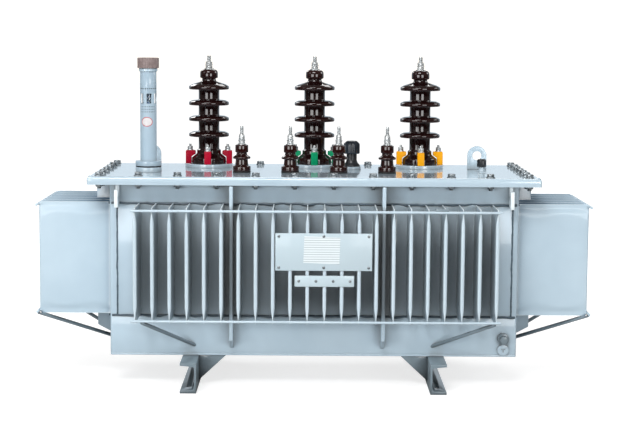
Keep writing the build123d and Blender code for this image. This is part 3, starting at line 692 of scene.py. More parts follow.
@dataclass(frozen=True)
class RuledLabel(Surface):
    """Printed card under clear film: pale, with faint ruled lines and nothing written."""

    name: str
    ground: str = "#DCE6EA"
    ink: str = "#8E9AA3"
    line_mm: float = 6.2
    share: float = 0.16

    def material(self) -> Material:
        """Build the finish: ruled lines up the label's height."""
        material, tree = blank_material(self.name)
        height = node(tree, "SeparateXYZ", links={"Vector": node(tree, "TexCoord").outputs["Object"]}).outputs["Z"]
        lines = node(tree, "Math", {"operation": "DIVIDE"}, {1: self.line_mm * MM}, {0: height}).outputs["Value"]
        wave = node(tree, "Math", {"operation": "FRACT"}, links={0: lines}).outputs["Value"]
        colour = two_tone(tree, wave, self.ink, self.ground, (self.share, self.share + 0.05))
        film = {"Roughness": 0.35, "Coat Weight": 0.3, "Coat Roughness": 0.1}
        return closed(material, tree, film, {"Base Color": colour})


ENAMEL = Enamel().into("tank_enamel")
# Enamel with a full painted highlight on fin noses and sharp edges, and a thin coat.
EDGE_HIGHLIT = Enamel(
    "blue_grey_enamel_rubbed_edges", edge_highlight=1.0, edge_highlight_span=(0.51, 0.56), coat=0.15, roughness=0.33
).into("tank_enamel")
# The rods' enamel has a half-strength painted highlight along their edges.
ROD = Enamel("blue_grey_enamel_on_rods", edge_highlight=0.5, coat=0.15, roughness=0.33).into("tank_enamel")
# The end fins' enamel has a bluer painted shade reaching far between the fins, and a painted highlight on their
# noses.
END_FINS = Enamel(
    "blue_grey_enamel_on_end_fins", painted_shade="#55738C", edge_highlight=1.0, coat=0.15, roughness=0.33, shade_mm=110.0
).into("tank_enamel")
# The cover's enamel has a painted highlight on its edges under a heavy coat.
COVER = Enamel("blue_grey_enamel_on_cover", edge_highlight=0.6, coat=0.9, roughness=0.22).into("tank_enamel")
# Weld beads are painted much darker than the tank enamel: painted shade along the seams.
SHADED_WELD = Enamel("enamel_over_weld_metal", "#64747F", "#4E5C66", "#2E363C", gloss=0.2, coat=0.0).into("tank_enamel")
# Darker enamel as painted shade for parts low down in the shadow of the tank and fins, with deep painted shade in
# their recesses.
SHADED_LOW = Enamel("dusty_enamel_low_down", "#7F8E97", "#72828B", "#222527", shade_mm=80.0).into("tank_enamel")
# A darker copy of the tank enamel for the oil tube: painted shade.
SHADED_TUBE = Enamel("blue_grey_enamel_on_tube", "#A6BAC8", "#9EB3C2").into("tank_enamel")
PORCELAIN = Glaze().into("brown_porcelain")
LV_PORCELAIN = Glaze("red_brown_glazed_porcelain", "#200B0A", "#3C1613").into("brown_porcelain")
ZINC = Plating().into("zinc_plate")
BOLT_ZINC = Plating("dulled_zinc_bolts", "#A2A9AD", "#4A5157", 0.32).into("zinc_plate")
GASKET = Moulding("black_nitrile_rubber", "#131415", "#1C1D1E", 0.65).into("gasket_rubber")
BLACK = Moulding("black_moulded_nylon", "#15171A", "#22262B", 0.38).into("black_moulding")
KNOB_BLACK = Moulding("blue_black_phenolic", "#141A21", "#1F2A35", 0.28).into("dark_moulding")
CAP_GREY = Moulding("brown_grey_moulded_cap", "#7B6C6A", "#8D7E7C", 0.5).into("grey_cap")
INK = Moulding("black_stencil_ink", "#2B2F33", "#3A3F44", 0.6).into("black_moulding")
RED_BORDER = Moulding("red_printed_border", "#B5323C", "#BE414A", 0.4).into("red_paint")
STICKER = Moulding("white_paper_sticker", "#CFCBCD", "#DAD8D9", 0.5).into("plate_metal")
GAUGE_BLUE = Moulding("dark_blue_gauge_core", "#0F2A4A", "#1B3F66", 0.3).into("dark_moulding")
SIGHT_GLASS = SightGlass().into("clear_glass")
LABEL = RuledLabel("ruled_blank_label").into("plate_metal")
PLATE = Enamel("satin_plate_paint", "#BCCDD5", "#B6C8D1", roughness=0.4, coat=0.15, shade_mm=5.0).into("plate_metal")


# Tank


@dataclass
class CorrugatedTank:
    """The shell: plain bands above and below four walls of pressed fins."""

    wall_x: float = 547.0
    wall_y: float = 192.0
    low: float = 188.0
    high: float = 491.0
    sheet: float = 3.0
    corner: float = 6.0
    left_seam: float = -527.0
    right_seam: float = 531.0
    front_depth: float = 130.0
    end_depth: float = 194.0
    fin_width: float = 10.0
    edge_width: float = 3.0
    pinch: float = 10.0
    taper: float = 16.0
    nose_taper: float = 20.0
    nose_reach: float = 0.13
    root_taper: float = 15.0
    root_at: float = 0.27
    root_reach: float = 0.17
    nose_round: float = 7.0
    front_pitch: float = 45.0
    front_count: int = 22
    front_shift: float = 5.0
    end_pitch: float = 62.0
    end_count: int = 6
    depth_cuts: tuple[float, ...] = (0.07, 0.14, 0.21, 0.3, 0.4, 0.5, 0.58, 0.66, 0.73, 0.8, 0.87, 0.94)
    end_cuts: tuple[float, ...] = (0, 1.5, 4, 7, 10, 12.5, 15, 18, 21, 24, 28, 32, 36, 41, 46, 52)

    def front_places(self) -> list[float]:
        """List the fins along the front and rear walls."""
        return row(self.front_count, self.front_pitch, self.front_shift)

    def end_places(self) -> list[float]:
        """List the fins across the end walls."""
        return row(self.end_count, self.end_pitch)

    def fin(self, depth: float) -> Piece:
        """Press one fin that reaches towards -Y from the plane Y = 0.

        Args:
            depth: How far the fin stands out, in millimetres.

        Returns:
            The fin, with thin ends and a round nose.
        """
        half = self.fin_width / 2
        fin = start("fin", bpy.ops.mesh.primitive_plane_add, (0, -depth / 2, self.low), size=1.0)
        with edit(fin, Grip.VERT):
            size = (self.fin_width * MM, depth * MM, 1.0)
            bpy.ops.transform.resize(value=size, center_override=(0, -depth / 2 * MM, self.low * MM))
        with edit(fin, Grip.VERT, lambda p: p.y < -depth / 2):
            bpy.ops.mesh.bevel(offset=half * 0.96 * MM, segments=4, affect="VERTICES")
        for share in self.depth_cuts:
            with edit(fin):
                bpy.ops.mesh.bisect(plane_co=(0, -depth * share * MM, 0), plane_no=(0, 1, 0))
        rise = self.high - self.low
        levels = [*self.end_cuts, rise / 2, *(rise - cut for cut in reversed(self.end_cuts))]
        with edit(fin):
            for a, b in zip(levels, levels[1:]):
                pull((0, 0, b - a))
            face_out()
        for vert in fin.data.vertices:
            vert.co = self.pressed(vert.co / MM, depth) * MM
        return fin

    def pressed(self, point: Vector, depth: float) -> Vector:
        """Squeeze one corner of a fin as the press does near the two ends.

        Args:
            point: The corner in millimetres.
            depth: The fin's depth in millimetres.

        Returns:
            The corner's new place.
        """
        end = min(point.z - self.low, self.high - point.z)
        outward = -point.y / depth
        at_nose = self.nose_taper * math.exp(-(((1 - outward) / self.nose_reach) ** 2))
        near_root = self.root_taper * math.exp(-(((outward - self.root_at) / self.root_reach) ** 2))
        share = min(max((end - self.pinch) / (self.taper + at_nose + near_root), 0.0), 1.0)
        swell = math.sin(share * math.pi / 2) ** 1.5
        width = self.edge_width + (self.fin_width - self.edge_width) * swell
        nose = max(0.0, self.nose_round - end)
        drawn_in = nose * nose / 12.0 * (1 if point.y < -depth * 0.9 else 0)
        return Vector((point.x * width / self.fin_width, point.y + drawn_in, point.z))

    def finned(self, side: str, sheet: Piece, fin: Piece, places: Sequence[Matrix]) -> list[Piece]:
        """Give a wall's sheet and its fins, each as one piece.

        Args:
            side: Which wall it is.
            sheet: The wall without its fins.
            fin: The fin that is copied.
            places: Where the copies go.

        Returns:
            The sheet and the fins.
        """
        fins = [copied(fin, "fin", place) for place in places]
        return [joined(f"{side}_wall", [sheet]), joined(f"{side}_fins", fins)]

    def front(self) -> list[Piece]:
        """Build the front and rear walls, each a flat sheet with its fins."""
        fin = self.fin(self.front_depth)
        walls = []
        for side, out, turn in (("front", -1, 0), ("rear", 1, 180)):
            y = sorted((out * self.wall_y, out * (self.wall_y - self.sheet)))
            sheet = box("sheet", (self.left_seam, y[0], self.low), (self.right_seam, y[1], self.high), 0.6)
            places = [moved(x, out * self.wall_y, 0, turn) for x in self.front_places()]
            walls += self.finned(side, sheet, fin, places)
        bpy.data.objects.remove(fin)
        return walls

    def ends(self) -> list[Piece]:
        """Build the two end walls, bent round the corners to the seams."""
        fin = self.fin(self.end_depth)
        walls = []
        for side, out, seam in (("left", -1, self.left_seam), ("right", 1, self.right_seam)):
            x, y = out * self.wall_x, self.wall_y
            plan = soften([(seam, -y), (x, -y, self.corner), (x, y, self.corner), (seam, y)])
            sheet = draw_line("sheet", [(px, py, self.low) for px, py in plan])
            with edit(sheet, Grip.EDGE):
                pull((0, 0, self.high - self.low))
                face_out()
            outer = [f for f in sheet.data.polygons if abs(f.normal.x) > 0.9]
            if outer[0].normal.x * out < 0:
                sheet.data.flip_normals()
            applied(sheet, "SOLIDIFY", thickness=self.sheet * MM, offset=-1.0)
            walls += self.finned(side, sheet, fin, [moved(x, py, 0, 90 * out) for py in self.end_places()])
        bpy.data.objects.remove(fin)
        return walls

    def build(self) -> None:
        """Build and dress the whole shell."""
        fins = {"front": EDGE_HIGHLIT, "rear": EDGE_HIGHLIT, "left": END_FINS, "right": END_FINS}
        for piece in self.front() + self.ends():
            side, kind = piece.name.split("_")
            if kind == "fins":
                dressed(piece, fins[side])
            else:
                dressed(piece, ENAMEL, [f"{side}_corrugated_wall"])
        for name in ("tank_floor", "tank_lower_band", "tank_upper_band"):
            dressed(from_solid(name, name + "_shape", 1.0), ENAMEL, [name])


@dataclass
class Seams:
    """Weld beads that join the shell, and the spots that hold the rods."""

    tank: CorrugatedTank
    radius: float = 3.2
    ripple: float = 5.0
    wander: float = 4.0
    wander_length: float = 34.0
    swell: float = 0.35
    spot: float = 4.5

    def bead(self, first: Sequence[float], last: Sequence[float], radius: float, seed: int) -> Piece:
        """Lay one bead that wanders and ripples along its seam.

        Args:
            first: One end in millimetres.
            last: Other end in millimetres.
            radius: Radius of the bead.
            seed: Seed of its unevenness.

        Returns:
            The bead.
        """
        length = math.dist(first, last)
        bead = cylinder("bead", 8, radius, -length / 2, length / 2)
        with edit(bead, Grip.EDGE, lambda p: abs(p.z) < 1):
            bpy.ops.mesh.subdivide(number_cuts=max(2, int(length / self.ripple)))
        for vert in bead.data.vertices:
            along = vert.co.z / MM
            swing = noise.noise(Vector((along / self.wander_length, seed, 0.0))) * self.wander
            swing *= (radius / self.radius) ** 3
            swell = 1 + self.swell * noise.noise(Vector((along / self.ripple / 1.7, seed, 5.0)))
            vert.co.x, vert.co.y = vert.co.x * swell + swing * MM, vert.co.y * swell + swing * MM
        bead.data.transform(between(first, last))
        return bead

    def shell_beads(self) -> list[Piece]:
        """Lay the level and upright seams of the shell."""
        t = self.tank
        beads = []
        for i, z in enumerate((t.low, t.high)):
            for side in (-1, 1):
                y = side * t.wall_y
                beads.append(self.bead((-t.wall_x + 5, y, z), (t.wall_x - 5, y, z), self.radius, 11 + i))
            for side in (-1, 1):
                x = side * t.wall_x
                beads.append(self.bead((x, -t.wall_y + 5, z), (x, t.wall_y - 5, z), self.radius, 17 + i))
        for y in (-t.wall_y, t.wall_y):
            for x in (t.left_seam, t.right_seam):
                beads.append(self.bead((x, y, t.low), (x, y, t.high), self.radius * 0.7, 23))
        return beads

    def spots(self) -> list[Piece]:
        """Place a spot of weld wherever a rod crosses the tip of a fin."""
        t = self.tank
        size = {"segments": 10, "ring_count": 6, "radius": self.spot * MM}
        spot = start("spot", bpy.ops.mesh.primitive_uv_sphere_add, (0, 0, 0), **size)
        with edit(spot, Grip.VERT):
            bpy.ops.transform.resize(value=(0.75, 1.0, 0.8), center_override=(0, 0, 0))
            bpy.ops.transform.vertex_random(offset=0.5 * MM, seed=5)
        places = []
        for z in (t.low + 6, t.high - 7):
            for side in (-1, 1):
                places += [moved(x, side * (t.wall_y + t.front_depth - 1), z) for x in t.front_places()]
                places += [moved(side * (t.wall_x + t.end_depth - 1), y, z, 90) for y in t.end_places()]
        copies = [copied(spot, "spot", place) for place in places]
        bpy.data.objects.remove(spot)
        return copies

    def build(self) -> None:
        """Lay every bead and spot; the beads get the darker enamel that paints shade along the seams, the spots the
        plain enamel.
        """
        dressed(joined("shell_welds", self.shell_beads()), SHADED_WELD)
        dressed(joined("rod_welds", self.spots()), ENAMEL)


@dataclass
class Framework:
    """Rods and braces round the fins, stiffeners, feet and lifting points."""

    front_tip: float = 325.5
    end_tip: float = 744.5
    rod_radius: float = 3.48
    low_rod: float = 194.0
    high_rod: float = 484.0
    front_ends: tuple[float, float] = (-478.0, 488.0)
    end_half: float = 180.0
    splice: tuple[float, float] = (314.0, 349.0)
    drain: tuple[float, float] = (511.0, 99.5)

    def rod(self, first: Sequence[float], last: Sequence[float]) -> Piece:
        """Cut one round rod with eased ends."""
        length = math.dist(first, last)
        rod = cylinder("rod", 20, self.rod_radius, -length / 2, length / 2)
        with edit(rod, Grip.FACE, lambda p: abs(p.z) > length / 2 - 0.1):
            bpy.ops.mesh.bevel(offset=0.8 * MM, segments=2, affect="EDGES")
        rod.data.transform(between(first, last))
        return rod

    def rods(self) -> None:
        """Lay the rods across the fin tips."""
        front, ends = [], []
        for z in (self.low_rod, self.high_rod):
            for side in (-1, 1):
                y, x = side * self.front_tip, side * self.end_tip
                front.append(self.rod((self.front_ends[0], y, z), (self.front_ends[1], y, z)))
                ends.append(self.rod((x, -self.end_half, z), (x, self.end_half, z)))
        lap = self.high_rod + 1.7 * self.rod_radius
        splice = self.rod(*((x, -self.front_tip + 1, lap) for x in self.splice))
        dressed(joined("rod_splice", [splice]), SHADED_LOW)
        dressed(joined("front_and_rear_rods", front), ROD, ["fin_rods"])
        dressed(joined("end_rods", ends), ROD, ["end_fin_rods"])

    def build(self) -> None:
        """Build and dress the framework."""
        self.rods()
        # Feet, gussets, braces and the drain cock body take the darker enamel that paints their shade.
        pieces = {
            "fin_braces": (0.4, SHADED_LOW),
            "end_braces": (0.4, SHADED_LOW),
            "front_stiffeners": (2.2, ENAMEL),
            "rear_stiffeners": (2.2, ENAMEL),
            "end_stiffeners": (2.2, ENAMEL),
            "left_foot": (1.2, SHADED_LOW),
            "right_foot": (1.2, SHADED_LOW),
            "foot_gussets": (0.8, SHADED_LOW),
            "tank_lifting_hooks": (1.0, EDGE_HIGHLIT),
            "cover_lifting_eyes": (1.0, ENAMEL),
            "drain_cock_body": (0.8, SHADED_LOW),
            "drain_cock_outlet": (1.0, ENAMEL),
        }
        for name, (bevel, finish) in pieces.items():
            piece = from_solid(name, name + "_shape", bevel)
            if name == "drain_cock_outlet":
                self.keyway(piece)
            dressed(piece, finish, [name])

    def keyway(self, outlet: Piece) -> None:
        """Sink the T-shaped keyway into the front of the drain outlet."""
        front = min(vert.co.y for vert in outlet.data.vertices) / MM
        x, z = self.drain
        bars = [((x - 5.5, z + 1.5), (x + 5.5, z + 4.5)), ((x - 1.6, z - 5.5), (x + 1.6, z + 2))]
        for low, high in bars:
            cutter = box("cutter", (low[0], front - 2, low[1]), (high[0], front + 2.5, high[1]))
            applied(outlet, "BOOLEAN", object=cutter, operation="DIFFERENCE", solver="EXACT")
            bpy.data.objects.remove(cutter)


# Cover


@dataclass
class Cover:
    """The bolted cover with its turned-down edges and its row of bolts."""

    half_x: float = 601.0
    half_y: float = 243.0
    low: float = 544.0
    top: float = COVER_TOP
    sheet: float = 6.0
    bend: float = 8.0
    corner: float = 5.0
    bolt_x: float = 572.0
    bolt_y: float = 210.0
    row_count: int = 12
    left_count: int = 6
    right_count: int = 7
    rim_low: float = 548.0

    def lid(self) -> Piece:
        """Fold the cover from one sheet."""
        size = ((-self.half_x, -self.half_y, self.low), (self.half_x, self.half_y, self.top))
        lid = box("cover_shape", *size)
        with edit(lid, Grip.EDGE, lambda p: abs(p.z - (self.low + self.top) / 2) < 1):
            bpy.ops.mesh.bevel(offset=self.corner * MM, segments=4, affect="EDGES")
        with edit(lid, Grip.EDGE, lambda p: p.z > self.top - 0.1):
            bpy.ops.mesh.bevel(offset=self.bend * MM, segments=5, affect="EDGES")
        with edit(lid, Grip.FACE, lambda p: p.z < self.low + 0.1):
            bpy.ops.mesh.delete(type="FACE")
        inner = (self.half_x - self.bend - 3, self.half_y - self.bend - 3)
        for axis, side in ((0, -1), (0, 1), (1, -1), (1, 1)):
            normal = [float(axis == 0), float(axis == 1), 0.0]
            with edit(lid):
                bpy.ops.mesh.bisect(plane_co=[n * side * inner[axis] * MM for n in normal], plane_no=normal)
        applied(lid, "SOLIDIFY", thickness=self.sheet * MM, offset=-1.0)
        return rounded(lid, 0.8)

    def fastener(self) -> Piece:
        """Make one bolt with its washers, its nut and its thread end."""
        top, low = self.top, self.rim_low
        washer = disc("washer", 12, top, top + 2.4)
        head = hexagon("head", 18.0, top + 2.4, top + 9.6)
        lower = disc("washer", 11.5, low - 2.2, low, (0.5, 0.4))
        nut = hexagon("nut", 18.0, low - 11.5, low - 2.2)
        foot, tip = [(0, low - 16.5), (4.6, low - 16.5)], [(5.9, low - 11), (0, low - 11)]
        thread = Thread(5.9, 5.2, 1.75, 0.9, 3, 16).cut(foot, low - 16, tip)
        return joined("fastener", [washer, head, lower, nut, thread])

    def bolt_places(self) -> list[tuple[float, float]]:
        """List the bolts round the cover, in millimetres."""
        along = row(self.row_count, 2 * self.bolt_x / (self.row_count - 1))
        places = [(x, y) for y in (-self.bolt_y, self.bolt_y) for x in along]
        for x, count in ((-self.bolt_x, self.left_count), (self.bolt_x, self.right_count)):
            places += [(x, y) for y in row(count, 2 * self.bolt_y / (count - 1))[1:-1]]
        return places

    def build(self) -> None:
        """Build and dress the cover, its gasket and its bolts."""
        dressed(self.lid(), COVER, ["cover"])
        dressed(from_solid("cover_gasket", "cover_gasket_shape", 0.5), GASKET, ["cover_gasket"])
        turns = random.Random(7)
        places = [moved(x, y, 0, turns.uniform(0, 60)) for x, y in self.bolt_places()]
        dressed(repeated("cover_bolts", self.fastener(), places), BOLT_ZINC)


# Bushings


@dataclass
class HighVoltageBushings:
    """Three tall bushings on raised seats, held by coloured claws."""

    spacing: float = 300.0
    y: float = 120.0
    seat: float = 576.0
    first_shed: float = 657.0
    shed_pitch: float = 44.5
    shed_count: int = 4
    clamp_top: float = 613.0
    claw_width: float = 19.0
    stud_radius: float = 53.5

    def places(self) -> list[Matrix]:
        """List the three places."""
        return [moved(x, self.y) for x in (-self.spacing, 0.0, self.spacing)]

    def porcelain(self) -> Piece:
        """Turn one bushing with its four sheds and its head."""
        outline: list[tuple[float, ...]] = [
            (0, self.seat),
            (48.5, self.seat, 2),
            (48.5, 592.5, 5),
            (34, 604, 5),
            (34, 614.5, 2.5),
            (29.5, 617, 3),
        ]
        for i in range(self.shed_count):
            rim = self.first_shed + i * self.shed_pitch
            outline += [(29.5, rim - 5, 2.5), (57, rim - 5, 4.5), (57, rim + 4.5, 4.6)]
            last = i == self.shed_count - 1
            outline += [(47, rim + 10, 14), (21, 809, 5)] if last else [(46, rim + 9.5, 12), (29.5, rim + 11, 3)]
        outline += [(18.5, 817, 3), (25.5, 818.2, 7), (25.5, 842.4, 12), (0, 842.4)]
        return spun("porcelain", outline, steps=72)

    def terminal(self) -> Piece:
        """Build one stud with its nuts and washers."""
        washer = disc("washer", 14, 842, 845, (0.5, 0.8), steps=32)
        lower = hexagon("nut", 19.0, 845, 853)
        thin = disc("washer", 11, 854, 856, steps=32)
        upper = hexagon("nut", 18.0, 856, 864.5)
        thread = Thread(5.9, 5.1, 1.7, 0.85, 16, 24).cut([(0, 852)], 853, [(4.6, 881.3), (0, 881.3)])
        return joined("terminal", [washer, lower, thin, upper, thread])

    def claw(self) -> Piece:
        """Cut one claw from its side outline: a leg on the seat and an arm over the porcelain's shoulder."""
        top = self.clamp_top
        leg = [(49.6, self.seat), (65.9, self.seat), (65.9, top - 2), (64, top)]
        arm = [(40, top), (38, top - 2), (38, 602.5), (49.6, 595)]
        claw = draw_line("claw", [(r, -self.claw_width / 2, z) for r, z in leg + arm])
        with edit(claw, Grip.VERT):
            bpy.ops.mesh.edge_face_add()
            pull((0, self.claw_width, 0))
            face_out()
        return rounded(claw, 2.4, 4)

    def clamp_hardware(self) -> Piece:
        """Build the stud, washer and nuts on top of one claw."""
        top = self.clamp_top
        washer = disc("washer", 9.3, top, top + 1.8, (0.3, 0.5))
        spring = disc("spring", 7.4, top, top + 3.6, (0.0, 0.5))
        nut = hexagon("nut", 14.5, top + 3.6, top + 11.5)
        tip = [(3.2, top + 18.4), (0, top + 18.4)]
        thread = Thread(3.95, 3.4, 1.25, 0.6, 5, 16).cut([(0, top + 11)], top + 11.5, tip)
        return joined("hardware", [washer, spring, nut, thread])

    def build(self) -> None:
        """Build and dress the bushings, seats, claws and terminals."""
        places = self.places()
        seat = disc("seat", 68, COVER_TOP, self.seat, (0.5, 1.5), steps=72)
        dressed(repeated("hv_seats", seat, places), COVER, ["hv_bushing_seats"])
        dressed(repeated("hv_porcelain", self.porcelain(), places), PORCELAIN, ["hv_bushings"])
        dressed(repeated("hv_terminal_studs", self.terminal(), places), ZINC, ["hv_terminals"])
        paints = {"red": ("#B8002C", "#9C0024"), "green": ("#009A66", "#00825A"), "yellow": ("#FAB012", "#EEA206")}
        studs = []
        for place, (colour, (light, deep)) in zip(places, paints.items()):
            # Each claw paint takes its deep tone as painted shade in its recesses.
            tone = {"painted_shade": deep, "edge": light, "roughness": 0.35, "gloss": 0.15, "coat": 0.0}
            finish = Enamel(f"{colour}_gloss_enamel", light, deep, **tone).into(f"{colour}_paint")
            turns = [place @ moved(0, 0, 0, 90 * i) for i in range(4)]
            name = f"hv_clamps_{colour}"
            dressed(repeated(name + "_shape", self.claw(), turns), finish, [name])
            studs += [turn @ moved(self.stud_radius, 0) for turn in turns]
        dressed(repeated("hv_clamp_nuts", self.clamp_hardware(), studs), ZINC)


@dataclass
class LowVoltageBushings:
    """Four short bushings in a row at the front."""

    spacing: float = 132.5
    count: int = 4
    y: float = -75.0
    foot: float = 570.0

    def places(self) -> list[Matrix]:
        """List the four places."""
        return [moved(x, self.y) for x in row(self.count, self.spacing)]

    def porcelain(self) -> Piece:
        """Turn one short bushing."""
        outline = [
            (0, self.foot),
            (24.5, self.foot, 2),
            (24.5, 583, 3),
            (18, 585, 2),
            (16.5, 602.5, 2),
            (24, 603.5, 2.5),
            (24, 608.5, 2.5),
            (15, 614, 5),
            (14, 620.5, 2),
            (17.8, 621.5, 1.8),
            (17.8, 641.8, 3.5),
            (9, 642),
            (0, 642),
        ]
        return spun("porcelain", outline, steps=56)

    def terminal(self) -> Piece:
        """Build one stud with its stepped nuts."""
        washer = disc("washer", 12, 642, 644.4, steps=28)
        lower = hexagon("nut", 17.0, 644.4, 652)
        thin = disc("washer", 10.2, 652.6, 655, steps=28)
        upper = hexagon("nut", 16.0, 655, 662.6)
        dome = spun("dome", [(0, 663), (8, 663, 0.6), (7.6, 668, 2.5), (5.2, 671.5, 1), (0, 671.5)], steps=28)
        thread = Thread(4.95, 4.3, 1.5, 0.75, 13, 20).cut([(0, 670)], 671, [(4.0, 692.4), (0, 692.4)])
        return joined("terminal", [washer, lower, thin, upper, dome, thread])

    def build(self) -> None:
        """Build and dress the row."""
        places = self.places()
        gasket = disc("gasket", 24.5, COVER_TOP, self.foot, (0.8, 0.8), steps=48)
        dressed(repeated("lv_gaskets", gasket, places), GASKET, ["lv_bushing_gaskets"])
        dressed(repeated("lv_porcelain", self.porcelain(), places), LV_PORCELAIN, ["lv_bushings"])
        dressed(repeated("lv_terminal_studs", self.terminal(), places), ZINC, ["lv_terminals"])


# Fittings on the cover


@dataclass
class TapChanger:
    """The tap selector: a flared base and a fluted knob that turns on it."""

    x: float = 105.0
    y: float = 55.0
    ring_top: float = 574.0
    knob_low: float = 610.0
    knob_top: float = 647.0
    knob_radius: float = 23.3
    flutes: int = 8
    flute_depth: float = 0.09

    def knob(self) -> Piece:
        """Mould the knob with its finger flutes and domed crown."""
        low, top, r = self.knob_low, self.knob_top, self.knob_radius
        outline = [(0, low), (r - 1.5, low, 1), (r, low + 3, 2), (r, top - 9, 6), (r * 0.6, top - 1, 6), (0, top)]
        knob = spun("tap_knob_shape", outline, steps=96)
        for vert in knob.data.vertices:
            flat = vert.co.xy.length / MM
            if flat > 8 and vert.co.z / MM < top - 3:
                wave = 0.5 + 0.5 * math.cos(self.flutes * math.atan2(vert.co.y, vert.co.x))
                vert.co.xy *= 1 - self.flute_depth * wave**3
        knob.data.transform(moved(self.x, self.y))
        return knob

    def build(self) -> None:
        """Build and dress the ring, the base and the knob."""
        at = (self.x, self.y, 0)
        ring = disc("tap_ring_shape", 26, COVER_TOP, self.ring_top, (0.6, 1.2), at, 64)
        dressed(ring, ENAMEL, ["tap_changer_ring"])
        base = [
            (0, self.ring_top),
            (23.5, self.ring_top, 1),
            (23.5, 577.5, 1.5),
            (17, 585, 6),
            (14.5, 592, 4),
            (14.5, 609.6, 0.8),
            (7.9, 609.6),
            (7.9, 626),
            (0, 626),
        ]
        dressed(spun("tap_base_shape", base, at, 64), BLACK, ["tap_changer_body"])
        dressed(self.knob(), KNOB_BLACK, ["tap_changer_knob"], KNOB)


@dataclass
class OilLevelTube:
    """The oil level tube with its sight window and ribbed cap."""

    x: float = -454.0
    y: float = -70.0
    tube_radius: float = 22.5
    seat_top: float = 579.0
    ribs: int = 40
    cap_low: float = 848.5
    cap_top: float = 876.5
    cap_radius: float = 29.3
    skirt_low: float = 839.0
    tick_level: float = 793.0
    line_level: float = 744.0
    line_pitch: float = 7.0
    oval_level: float = 703.0
    oval_turn: float = -5.0
    film: float = 0.08

    def cap(self) -> Piece:
        """Mould the cap and sink the grooves between its ribs."""
        low, top = self.cap_low, self.cap_top
        middle = (low + top) / 2
        cap = cylinder("cap", self.ribs * 2, self.cap_radius, low, top)
        with edit(cap, Grip.FACE, lambda p: p.z > top - 0.1):
            bpy.ops.mesh.bevel(offset=1.8 * MM, segments=3, affect="EDGES")

        def groove(point: Vector) -> bool:
            """Say whether a face lies between two ribs."""
            step = math.atan2(point.y, point.x) / math.tau * self.ribs * 2
            return abs(point.z - middle) < 5 and math.floor(step) % 2 == 0

        with edit(cap, Grip.FACE, groove):
            bpy.ops.mesh.inset(thickness=0.35 * MM, depth=-0.9 * MM, use_individual=True)
        return cap

    def wrapped(self, piece: Piece, lift: float, z: float, turn: float = 0.0) -> Piece:
        """Bend a flat piece that lies in X and Y round the front of the tube.

        Args:
            piece: The flat piece.
            lift: How far it stands off the tube in millimetres.
            z: Level of its middle.
            turn: How far round the tube its middle is, in degrees to the right.

        Returns:
            The bent piece.
        """
        radius = self.tube_radius + lift
        for vert in piece.data.vertices:
            angle = vert.co.x / MM / self.tube_radius + math.radians(turn)
            r = radius + vert.co.z / MM
            up = z + vert.co.y / MM
            vert.co = Vector((self.x + r * math.sin(angle), self.y - r * math.cos(angle), up)) * MM
        with edit(piece):
            face_out()
        return piece

    def strip(self, length: float, height: float, z: float, turn: float = 0.0) -> Piece:
        """Print one plain mark round the front of the tube."""
        dash = box("mark", (-length / 2, -height / 2, 0), (length / 2, height / 2, self.film))
        with edit(dash, Grip.EDGE, lambda p: abs(p.x) < 0.01):
            bpy.ops.mesh.subdivide(number_cuts=7)
        return self.wrapped(dash, 0.0, z, turn)

    def oval(self, name: str, half: tuple[float, float], lift: float) -> Piece:
        """Cut one plain oval and lay it on the front of the tube."""
        oval = cylinder(name, 48, 1.0, -self.film / 2, self.film / 2)
        with edit(oval, Grip.VERT):
            bpy.ops.transform.resize(value=(*half, 1.0), center_override=(0, 0, 0))
        with edit(oval):
            for i in range(-3, 4):
                bpy.ops.mesh.select_all(action="SELECT")
                bpy.ops.mesh.bisect(plane_co=(half[0] * i / 4 * MM, 0, 0), plane_no=(1, 0, 0))
        return self.wrapped(oval, lift, self.oval_level, self.oval_turn)

    def marks(self) -> None:
        """Lay the plain level marks and the plain oval on the tube."""
        ticks = [self.strip(3.2, 2.2, self.tick_level, turn) for turn in range(-70, 80, 14)]
        lines = [self.strip(40.0, 2.4, self.line_level - self.line_pitch * i) for i in range(3)]
        dressed(joined("level_marks", ticks + lines), INK)
        dressed(self.oval("oval_border", (16.0, 13.0), 0.05), RED_BORDER)
        dressed(self.oval("oval_face", (14.2, 11.2), 0.12), STICKER)

    def build(self) -> None:
        """Build and dress the tube from its seat to its cap."""
        at = (self.x, self.y, 0)
        seat = disc("oil_seat_shape", 35.5, COVER_TOP, self.seat_top, (0.6, 1.2), at, 72)
        dressed(seat, ENAMEL, ["oil_tube_seat"])
        gasket = disc("oil_gasket_shape", 34.5, self.seat_top, self.seat_top + 4, (0.8, 0.8), at, 72)
        dressed(gasket, GASKET, ["oil_tube_gasket"])
        dressed(from_solid("oil_level_tube", "oil_tube_shape", 0.8), SHADED_TUBE, ["oil_level_tube"])
        glass = from_solid("oil_sight_glass", "sight_glass_shape", 0.3)
        dressed(glass, SIGHT_GLASS, ["oil_sight_glass"])
        core = disc("gauge_core", 11.6, 743, 789, (1, 1), at, 40)
        dressed(core, GAUGE_BLUE)
        self.marks()
        foot, low = self.skirt_low, self.cap_low
        skirt = [(0, foot), (24.5, foot, 1), (25.3, foot + 2, 1), (25.3, low - 1.5, 1), (24, low, 0.6), (0, low)]
        dressed(spun("collar", skirt, at, 72), ENAMEL)
        cap = self.cap()
        cap.data.transform(moved(self.x, self.y))
        dressed(cap, CAP_GREY, ["oil_tube_cap"])


@dataclass
class Filler:
    """The filler stub with its black cap."""

    x: float = 460.0
    y: float = -50.0

    def build(self) -> None:
        """Build and dress the stub and cap."""
        at = (self.x, self.y, 0)
        low = COVER_TOP
        outline = [(0, low), (10.5, low, 2), (8.3, low + 3, 1.5), (8.3, low + 17), (0, low + 17)]
        stub = spun("filler_stub_shape", outline, at, 40)
        dressed(stub, ENAMEL, ["filler_pipe"])
        dressed(from_solid("filler_cap", "filler_cap_shape", 0.8), BLACK, ["filler_cap"])


